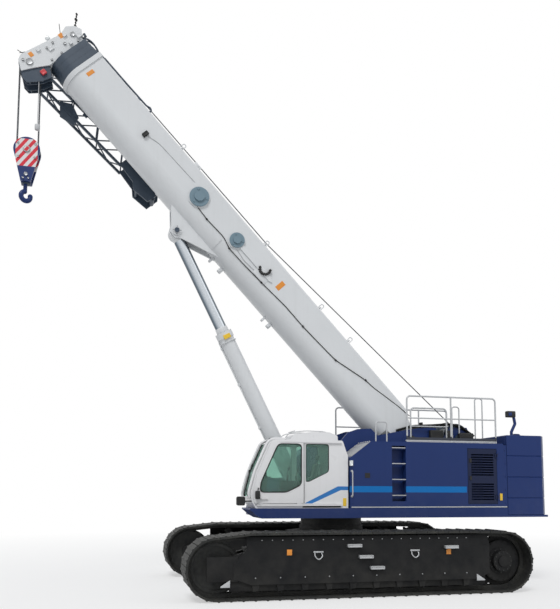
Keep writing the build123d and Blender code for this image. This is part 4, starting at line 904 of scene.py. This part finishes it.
pipes = [bent([(0.4, 0, -0.215), (2.4, 0, -0.215), (4.45, 0, -0.215), (4.5, 0, -0.19)], 0.05, 0.016)]
pipes += [block((s - 0.03, -0.035, -0.24), (s + 0.03, 0.035, -0.185), 0.008) for s in (0.9, 2.1, 3.3, 4.3)]
barrelPiece("luffPipe", pipes, "boomWhite")
sleeve = [drum((4.6, 0, 0), (4.79, 0, 0), 0.159, 0.01, 40, 0.01, -0.006),
          drum((4.38, 0, 0), (4.4, 0, 0), 0.226, 0.004, 48)]
barrelPiece("glandSleeve", sleeve, "boomWhite")
label = block((4.46, 0.206, -0.09), (4.57, 0.232, 0.09), 0.006, (0, 1, 0), 0.01, 0.001)
barrelPiece("glandLabel", [label], "yellowPlate")
eyes = []
for side in (-1, 1):
    eyes.append(drum((7.85, side * 0.265, -0.94), (7.85, side * 0.3, -0.94), 0.062, 0.006, 24, 0.02, -0.006))
    eyes += ringOfBolts((7.85, -0.94), 0.095, side * 0.27, side * 0.288, 0.012, 4, 0.002, 45)
boomPiece("luffPinCaps", eyes, "slatePaint")
bolts = []
for turn in range(0, 360, 30):
    y, n = 0.205 * cos(radians(turn)), 0.205 * sin(radians(turn))
    bolts.append(drum((4.648, y, n), (4.664, y, n), 0.013, 0.002, 6))
barrelPiece("glandBolts", bolts, "boltSteel")

# Winch rope wound on the drums
drumLook = {"upper": (-3.35, 3.7), "lower": (-3.68, 2.76), "radius": 0.283, "turns": 23, "rope": 0.013}
look = drumLook
for name, body in (("upper", "winch_upper"), ("lower", "winch_lower")):
    x, z = look[name]
    points = []
    for step in range(look["turns"] * 16 + 1):
        a = 2 * pi * step / 16
        y = -0.315 + 0.63 * step / (look["turns"] * 16)
        points.append((x + look["radius"] * cos(a), y, z + look["radius"] * sin(a)))
    finished(name + "WoundRope", [tube(points, look["rope"], False, 1)], "wireRope", body, "rope_steel")
drumTop = Vector((drumLook["upper"][0] - 0.2, 0, drumLook["upper"][1] + 0.21))
guideTop = boomMatrix @ Vector((boomLook["ropeStart"][0], 0, boomLook["ropeStart"][1]))
ropeLook = {"middle": 0.045, "bend": 0.1, "settled": 0.3, "radius": 0.013}
middle, bend, settled = (drumTop.lerp(guideTop, ropeLook[key]) for key in ("middle", "bend", "settled"))
for name, start, stop, blendFrom, blendTo, first, second in (
        ("leadRopeLow", drumTop, middle, drumTop, middle, "upperworks", "boom_foot"),
        ("leadRopeHigh", middle, guideTop, bend, settled, "boom_foot", "boom")):
    points = [start.lerp(stop, step / 40) for step in range(41)]
    rope = finished(name, [tube(points, ropeLook["radius"])], "wireRope", None)
    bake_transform(rope)
    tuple(blendFrom)
    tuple(blendTo)
print("winch ropes made")

# Hook block: cheek bolts, rope guards, blank label; hook latch and nut
blockLook = {
    "sheave": (7.636, 10.405), "cheek": 0.165,
    "pins": ((0, 0, 0.085), (-0.2, 0.14, 0.026), (0.2, 0.14, 0.026), (-0.19, -0.2, 0.026),
             (0.19, -0.2, 0.026), (0, -0.62, 0.045), (-0.06, -0.72, 0.024), (0.06, -0.72, 0.024)),
    "bars": ((-0.29, 0.0), (0.29, 0.0), (-0.22, -0.21), (0.22, -0.21)),
}
look = blockLook
x0, z0 = look["sheave"]
spots = [(x0 + x, z0 + z, size) for x, z, size in look["pins"]]
finished("blockPins", pinCaps(spots, look["cheek"], 0.003, 0.026, 0.005, 18, -0.005), "boltSteel", "hook")
bars = [drum((x0 + x, -0.125, z0 + z), (x0 + x, 0.125, z0 + z), 0.018, 0.003) for x, z in look["bars"]]
bars.append(drum((x0, 0, 9.585), (x0, 0, 9.625), 0.105, 0.008, 8))
finished("blockGuards", bars, "slatePaint", "hook")
print("hook trim made")

# Crawlers: bolts on guards, wheels and final drives, shackles, blank plates
crawlerLook = {
    "face": 2.656, "cover": 0.47, "steps": ((0.33, 1.12), (0.07, 0.88), (-0.19, 0.64), (-1.96, 1.06)),
    "drive": (-3.3, 0.7), "idler": (3.33, 0.67), "topFront": (2.6, 1.42), "topRear": (-2.4, 1.42),
    "gauge": 2.3, "shoes": 68, "boltRows": (-0.385, -0.12, 0.12, 0.385), "boltSunk": 0.02,
    "gussets": ((3.05, 3.25, 3.25), (-2.8, -2.6, -2.8)), "shackles": (1.14, -1.09),
    "strips": (((-2.9, 2.63, 1.08), (2.7, 2.655, 1.325)), ((-2.84, 2.572, 0.19), (3.06, 2.598, 0.46)),
               ((-2.93, 2.628, 0.44), (-2.55, 2.652, 1.18))),
    "plates": (((1.72, 2.654, 0.93), (1.83, 2.662, 1.05)), ((-1.97, 2.654, 0.89), (-1.86, 2.662, 1.01))),
    "hoses": (((-0.9, 1.95, 0.93), (-1.5, 1.9, 1.05), (-2.5, 1.93, 0.98), (-3.1, 2.02, 0.8)),
              ((-0.9, 1.9, 0.87), (-1.5, 1.86, 0.98), (-2.5, 1.88, 0.92), (-3.1, 2.0, 0.72))),
}


def loopPlaces(count):
    # places round the track's outline at even steps, each with its outward direction in X and Z
    (driveX, driveR), (idlerX, idlerR) = crawlerLook["drive"], crawlerLook["idler"]
    corners = [(driveX, 0.0)]
    steps = 48
    for step in range(steps + 1):
        a = -pi / 2 + pi * step / steps
        corners.append((idlerX + idlerR * cos(a), idlerR + idlerR * sin(a)))
    corners += [crawlerLook["topFront"], crawlerLook["topRear"]]
    for step in range(steps + 1):
        a = pi / 2 + pi * step / steps
        corners.append((driveX + driveR * cos(a), driveR + driveR * sin(a)))
    points = [Vector((x, 0, z)) for x, z in corners]
    lengths = [(b - a).length for a, b in zip(points, points[1:])]
    places = []
    for index in range(count):
        left = (index + 0.5) * sum(lengths) / count
        for a, b, length in zip(points, points[1:], lengths):
            if left <= length:
                along = (b - a).normalized()
                places.append((a + along * left, Vector((along.z, 0, -along.x))))
                break
            left -= length
    return places


def wedge(low, high, corner):
    # a plate with one upper end brought down to its foot
    piece = block(low, high, 0)
    switchTo("EDIT")
    bpy.ops.mesh.select_mode(type="VERT")
    bpy.ops.mesh.select_all(action="DESELECT")
    switchTo("OBJECT")
    for vertex in piece.data.vertices:
        vertex.select = abs(vertex.co.x - corner) < 0.001 and vertex.co.z > (low[2] + high[2]) / 2
    switchTo("EDIT")
    bpy.ops.transform.translate(value=(0, 0, -0.85 * (high[2] - low[2])))
    switchTo("OBJECT")
    return bevelled(piece, 0.004)


look = crawlerLook
for side, word in ((1, "Left"), (-1, "Right")):
    def out(x, y, z):
        return x, side * y, z

    def trackPiece(name, pieces, finish):
        finished(name + word, pieces, finish, "crawler_base")

    drive, face = look["drive"], look["face"]
    bolts = ringOfBolts(drive, 0.205, side * 2.597, side * 2.617, 0.017, 12, 0.003)
    bolts += ringOfBolts(drive, 0.265, side * 2.487, side * 2.507, 0.018, 12, 0.003)
    trackPiece("driveBolts", bolts, "castSteel")
    ends = [out(drive[0], y, drive[1]) for y in (2.44, 2.476)]
    cover = [drum(*ends, look["cover"], 0.008, 64, 0.07, -0.006)]
    cover += ringOfBolts(drive, 0.435, side * 2.474, side * 2.49, 0.015, 18)
    trackPiece("driveCover", cover, "frameBlack")
    rows = []
    for z, size, step, count in ((1.25, 0.013, 0.225, 22), (0.47, 0.016, 0.54, 10)):
        head = drum(out(-2.35, face - 0.003, z), out(-2.35, face + 0.012, z), size, 0.002, 6)
        rows += copiesOf(head, [(step * i, 0, 0) for i in range(1, count)])
    trackPiece("guardBolts", rows, "boltSteel")
    gussets = [wedge(out(x0, 2.64, 0.29), out(x1, 2.668, 0.44), tip) for x0, x1, tip in look["gussets"]]
    trackPiece("guardGussets", gussets, "railGrey")
    strips = [block(out(*low), out(*high), 0.006) for low, high in look["strips"]]
    trackPiece("guardStrips", strips, "frameBlack")
    head = drum(out(3.02, 2.646, 0.47), out(3.02, 2.662, 0.47), 0.015, 0.002, 6)
    front = copiesOf(head, [(0.22, 0, 0), (0.44, 0, 0)])
    front.append(block(out(2.88, 2.622, 0.4), out(3.54, 2.65, 0.92), 0.012))
    trackPiece("idlerPlate", front, "frameBlack")
    bolt = drum((0, 0, 0), (0, 0, 0.018), 0.015, 0, 6)
    places = []
    for place, outward in loopPlaces(look["shoes"]):
        for row in look["boltRows"]:
            foot = place + Vector((0, side * look["gauge"] + row, 0)) - outward * look["boltSunk"]
            places.append(aimed(foot, outward))
    studs = copiesOf(bolt, places)[1:]
    bpy.data.objects.remove(bolt)
    trackPiece("shoeBolts", studs, "boltSteel")
    plates = [block(out(*low), out(*high), 0.001) for low, high in look["plates"]]
    trackPiece("trackPlates", plates, "orangePlate")
    treads = [block(out(x - 0.16, 2.66, z - 0.04), out(x + 0.16, 2.755, z + 0.03), 0.006, (0, side, 0))
              for x, z in look["steps"]]
    trackPiece("stepTreads", treads, "treadGrey")
    loops = []
    for x in look["shackles"]:
        bow = [(x - 0.07, 2.65, 0.99), (x - 0.09, 2.71, 0.9), (x, 2.72, 0.82), (x + 0.09, 2.71, 0.9),
               (x + 0.07, 2.65, 0.99)]
        loops += [bent([out(*point) for point in bow], 0.06, 0.012),
                  drum(out(x - 0.11, 2.675, 0.99), out(x + 0.11, 2.675, 0.99), 0.02, 0.004)]
    trackPiece("frameShackles", loops, "treadGrey")
    hoses = [bent([out(*point) for point in run], 0.2, 0.02) for run in look["hoses"]]
    hoses += [block(out(x - 0.03, 1.84, 0.88), out(x + 0.03, 1.98, 1.08), 0.008) for x in (-1.5, -2.5)]
    trackPiece("driveHoses", hoses, "rubber")
print("crawler trim made")

# Right side: tank cap, exhaust flap, louvres, service panels
cap = [drum((1.4, -1.05, 2.615), (1.4, -1.05, 2.665), 0.075, 0.008, 28, 0.018, 0.006),
       drum((1.4, -1.05, 2.6), (1.4, -1.05, 2.63), 0.1, 0.004, 28)]
finished("tankCap", cap, "blackPlastic")
straps = []
for x in (1.15, 1.68):
    hoop = [(x, -1.506, 1.92), (x, -1.506, 2.626), (x, -0.555, 2.626), (x, -0.555, 1.92)]
    straps.append(bent(hoop, 0.03, 0.012, 2))
finished("tankStraps", straps, "railGrey")
flap = block((-3.02, -1.11, 3.893), (-2.78, -0.89, 3.905), 0.004, (0, 0, 1), 0.03, 0.004)
hinge = drum((-3.02, -1.03, 3.91), (-3.02, -0.97, 3.91), 0.016, 0.003)
finished("exhaustFlap", [flap, hinge], "exhaustSteel")
rightLook = {
    "face": -1.5, "slats": 11, "slatStep": 0.09, "louvres": ((-3.75, -2.75), (-2.55, -1.55)),
    "panels": ((-3.85, -2.65), (-2.62, -1.45), (-1.42, -0.3), (-0.27, 0.82)), "panelHeights": (1.98, 3.02),
    "latches": (-2.7, -1.5, -0.35, 0.77),
}
look = rightLook
face = look["face"]
slats = []
for x0, x1 in look["louvres"]:
    for z in (2.25 + look["slatStep"] * i for i in range(look["slats"])):
        slats.append(block((x0, face - 0.016, z), (x1, face + 0.004, z + 0.04), 0.006))
finished("rightLouvres", slats, "navyPaint")
panels = []
low, high = look["panelHeights"]
for x0, x1 in look["panels"]:
    x0, x1 = x0 + 0.03, x1 - 0.03
    corners = [(x0, face, low), (x1, face, low), (x1, face, high), (x0, face, high)]
    panels.append(tube(eased(corners, 0.05, 4, True), 0.006, True, 2))
panels += [block((x - 0.03, face - 0.016, 2.45), (x + 0.03, face + 0.003, 2.55), 0.006)
           for x in look["latches"]]
finished("rightServicePanels", panels, "navyPaint")

# Deck fittings between the housings: valve block, hoses, floor plates
valves = [block((0.1, -0.34, 1.708), (0.42, 0.3, 1.92), 0.015, (0, 0, 1), 0.03, 0.01)]
valves += copiesOf(drum((0.16, -0.26, 1.92), (0.16, -0.26, 2.0), 0.028, 0.005, 16),
                   [(0.1 * i, 0.11 * j, 0) for i in range(3) for j in range(5) if i or j])
finished("valveBank", valves, "castSteel")
hoses = []
for y in (-0.26 + 0.11 * i for i in range(5)):
    far = y * 0.8
    run = [(0.16, y, 1.99), (0.16, y, 2.1), (-0.25, y * 0.9, 2.12), (-0.62, far, 1.8), (-1.3, far, 1.77)]
    hoses.append(bent(run, 0.12, 0.016))
finished("valveHoses", hoses, "rubber")
bundle = []
for y, rise in ((0.47, 0.02), (0.5, 0.05), (0.44, 0.045), (-0.47, 0.02), (-0.5, 0.05)):
    run = [(-1.62, 3.8), (-2.05, 3.925), (-2.62, 3.955), (-3.1, 4.0), (-3.42, 3.94), (-3.8, 3.74 - rise)]
    bundle.append(bent([(x, y, z + rise) for x, z in run], 0.12, 0.02))
bundle += [block((x - 0.03, y - 0.06, 3.93), (x + 0.03, y + 0.06, 4.06), 0.008)
           for x in (-2.3, -2.95) for y in (-0.48, 0.48)]
finished("webHoses", bundle, "rubber")
boxes = [block((-2.86, 0.5, 3.6), (-2.5, 0.62, 3.86), 0.02, (0, 1, 0), 0.03, -0.006),
         block((-3.7, 0.52, 3.56), (-3.3, 0.66, 3.8), 0.02, (0, 0, 1), 0.03, 0.006),
         drum((-3.02, 0.6, 3.55), (-3.02, 0.6, 3.86), 0.055, 0.008)]
finished("channelBoxes", boxes, "blackPlastic")
lampHead = block((-4.585, 1.115, 4.185), (-4.345, 1.245, 4.345), 0.02, (1, 0, 0), 0.02, -0.008)
finished("postCamera", [lampHead], "blackPlastic")
print("deck trim made")

# Floor, light and camera
floorLook = {"size": 900.0, "colour": (0.8, 0.8, 0.8), "near": 7.0, "far": 24.0, "shadowShare": 0.5}


def seenDirectly(tree):
    # one for rays from the camera, mirrors and glass
    path = addNode(tree, "ShaderNodeLightPath").outputs
    mirrored = combine(tree, "MAXIMUM", path["Is Glossy Ray"], path["Is Transmission Ray"])
    return combine(tree, "MAXIMUM", path["Is Camera Ray"], mirrored)


def makeFloor():
    bpy.ops.mesh.primitive_plane_add(size=floorLook["size"], location=(0, 0, 0))
    floor = bpy.context.object
    floor.name = "studioFloor"
    material, tree, shader = newMaterial("paleFloor")
    speckle = spread(tree, noiseOf(tree, 0.7, 4.0), 0.3, 0.7, 0.0, 0.15)
    fill(tree, shader, {"Base Color": mixColour(tree, speckle, floorLook["colour"], (0.74, 0.74, 0.74)),
                        "Roughness": 0.9})
    glow = addNode(tree, "ShaderNodeEmission", {"Color": (1, 1, 1, 1), "Strength": 1.0})
    # the floor fades to plain white away from the machine
    place = addNode(tree, "ShaderNodeTexCoord").outputs["Object"]
    reach = vectorMath(tree, "LENGTH", place).outputs["Value"]
    whiteness = spread(tree, reach, floorLook["near"], floorLook["far"], floorLook["shadowShare"], 1.0)
    share = times(tree, seenDirectly(tree), whiteness)
    mixed = addNode(tree, "ShaderNodeMixShader", {0: share, 1: shader.outputs[0], 2: glow.outputs[0]})
    tree.links.new(mixed.outputs[0], tree.nodes["Material Output"].inputs["Surface"])
    floor.data.materials.append(material)


worldLook = {"sky": (0.93, 0.96, 1.0), "strength": 0.5}


def makeWorld():
    world = bpy.data.worlds.new("softStudio")
    world.use_nodes = True
    bpy.context.scene.world = world
    tree = world.node_tree
    colour = (*worldLook["sky"], 1.0)
    sky = fill(tree, tree.nodes["Background"], {"Color": colour, "Strength": worldLook["strength"]})
    backdrop = addNode(tree, "ShaderNodeBackground", {"Color": (1, 1, 1, 1), "Strength": 1.0})
    inputs = {0: seenDirectly(tree), 1: sky.outputs[0], 2: backdrop.outputs[0]}
    mixed = addNode(tree, "ShaderNodeMixShader", inputs)
    tree.links.new(mixed.outputs[0], tree.nodes["World Output"].inputs["Surface"])


lampLook = [
    # name, where it stands, what it looks at, strength, angle in degrees
    ("keySun", (10, 20, 30), (0, 0, 3), 1.55, 20),
    ("fillSun", (-18, 8, 12), (0, 0, 4), 0.3, 50),
]


def makeLamps():
    for name, place, target, strength, angle in lampLook:
        lamp = bpy.data.lights.new(name, "SUN")
        lamp.energy = strength
        lamp.angle = radians(angle)
        holder = newObject(name, lamp)
        holder.location = place
        holder.rotation_euler = (Vector(target) - Vector(place)).to_track_quat("-Z", "Y").to_euler()


cameraLook = {
    "place": (5.698, 17.734, 2.304), "turn": 13.81, "pitch": 5.58, "roll": 0.18,
    "focalPixels": 724.0, "imageWidth": 560, "sensor": 36.0, "shift": 0.2054,
}


def makeCamera():
    turn, pitch, roll = (radians(cameraLook[key]) for key in ("turn", "pitch", "roll"))
    forward = Vector((-sin(turn) * cos(pitch), -cos(turn) * cos(pitch), sin(pitch)))
    right = Vector((-cos(turn), sin(turn), 0))
    up = right.cross(forward)
    rolledRight = right * cos(roll) + up * sin(roll)
    rolledUp = up * cos(roll) - right * sin(roll)
    data = bpy.data.cameras.new("photoCamera")
    data.sensor_fit = "HORIZONTAL"
    data.sensor_width = cameraLook["sensor"]
    data.lens = cameraLook["focalPixels"] / cameraLook["imageWidth"] * cameraLook["sensor"]
    data.shift_y = cameraLook["shift"]
    data.clip_end = 500
    camera = newObject("photoCamera", data)
    axes = Matrix((rolledRight, rolledUp, -forward)).transposed()
    camera.matrix_world = Matrix.Translation(cameraLook["place"]) @ axes.to_4x4()
    bpy.context.scene.camera = camera


makeFloor()
makeWorld()
makeLamps()
makeCamera()
bpy.context.scene.view_settings.view_transform = "Standard"
print("floor, light and camera made")
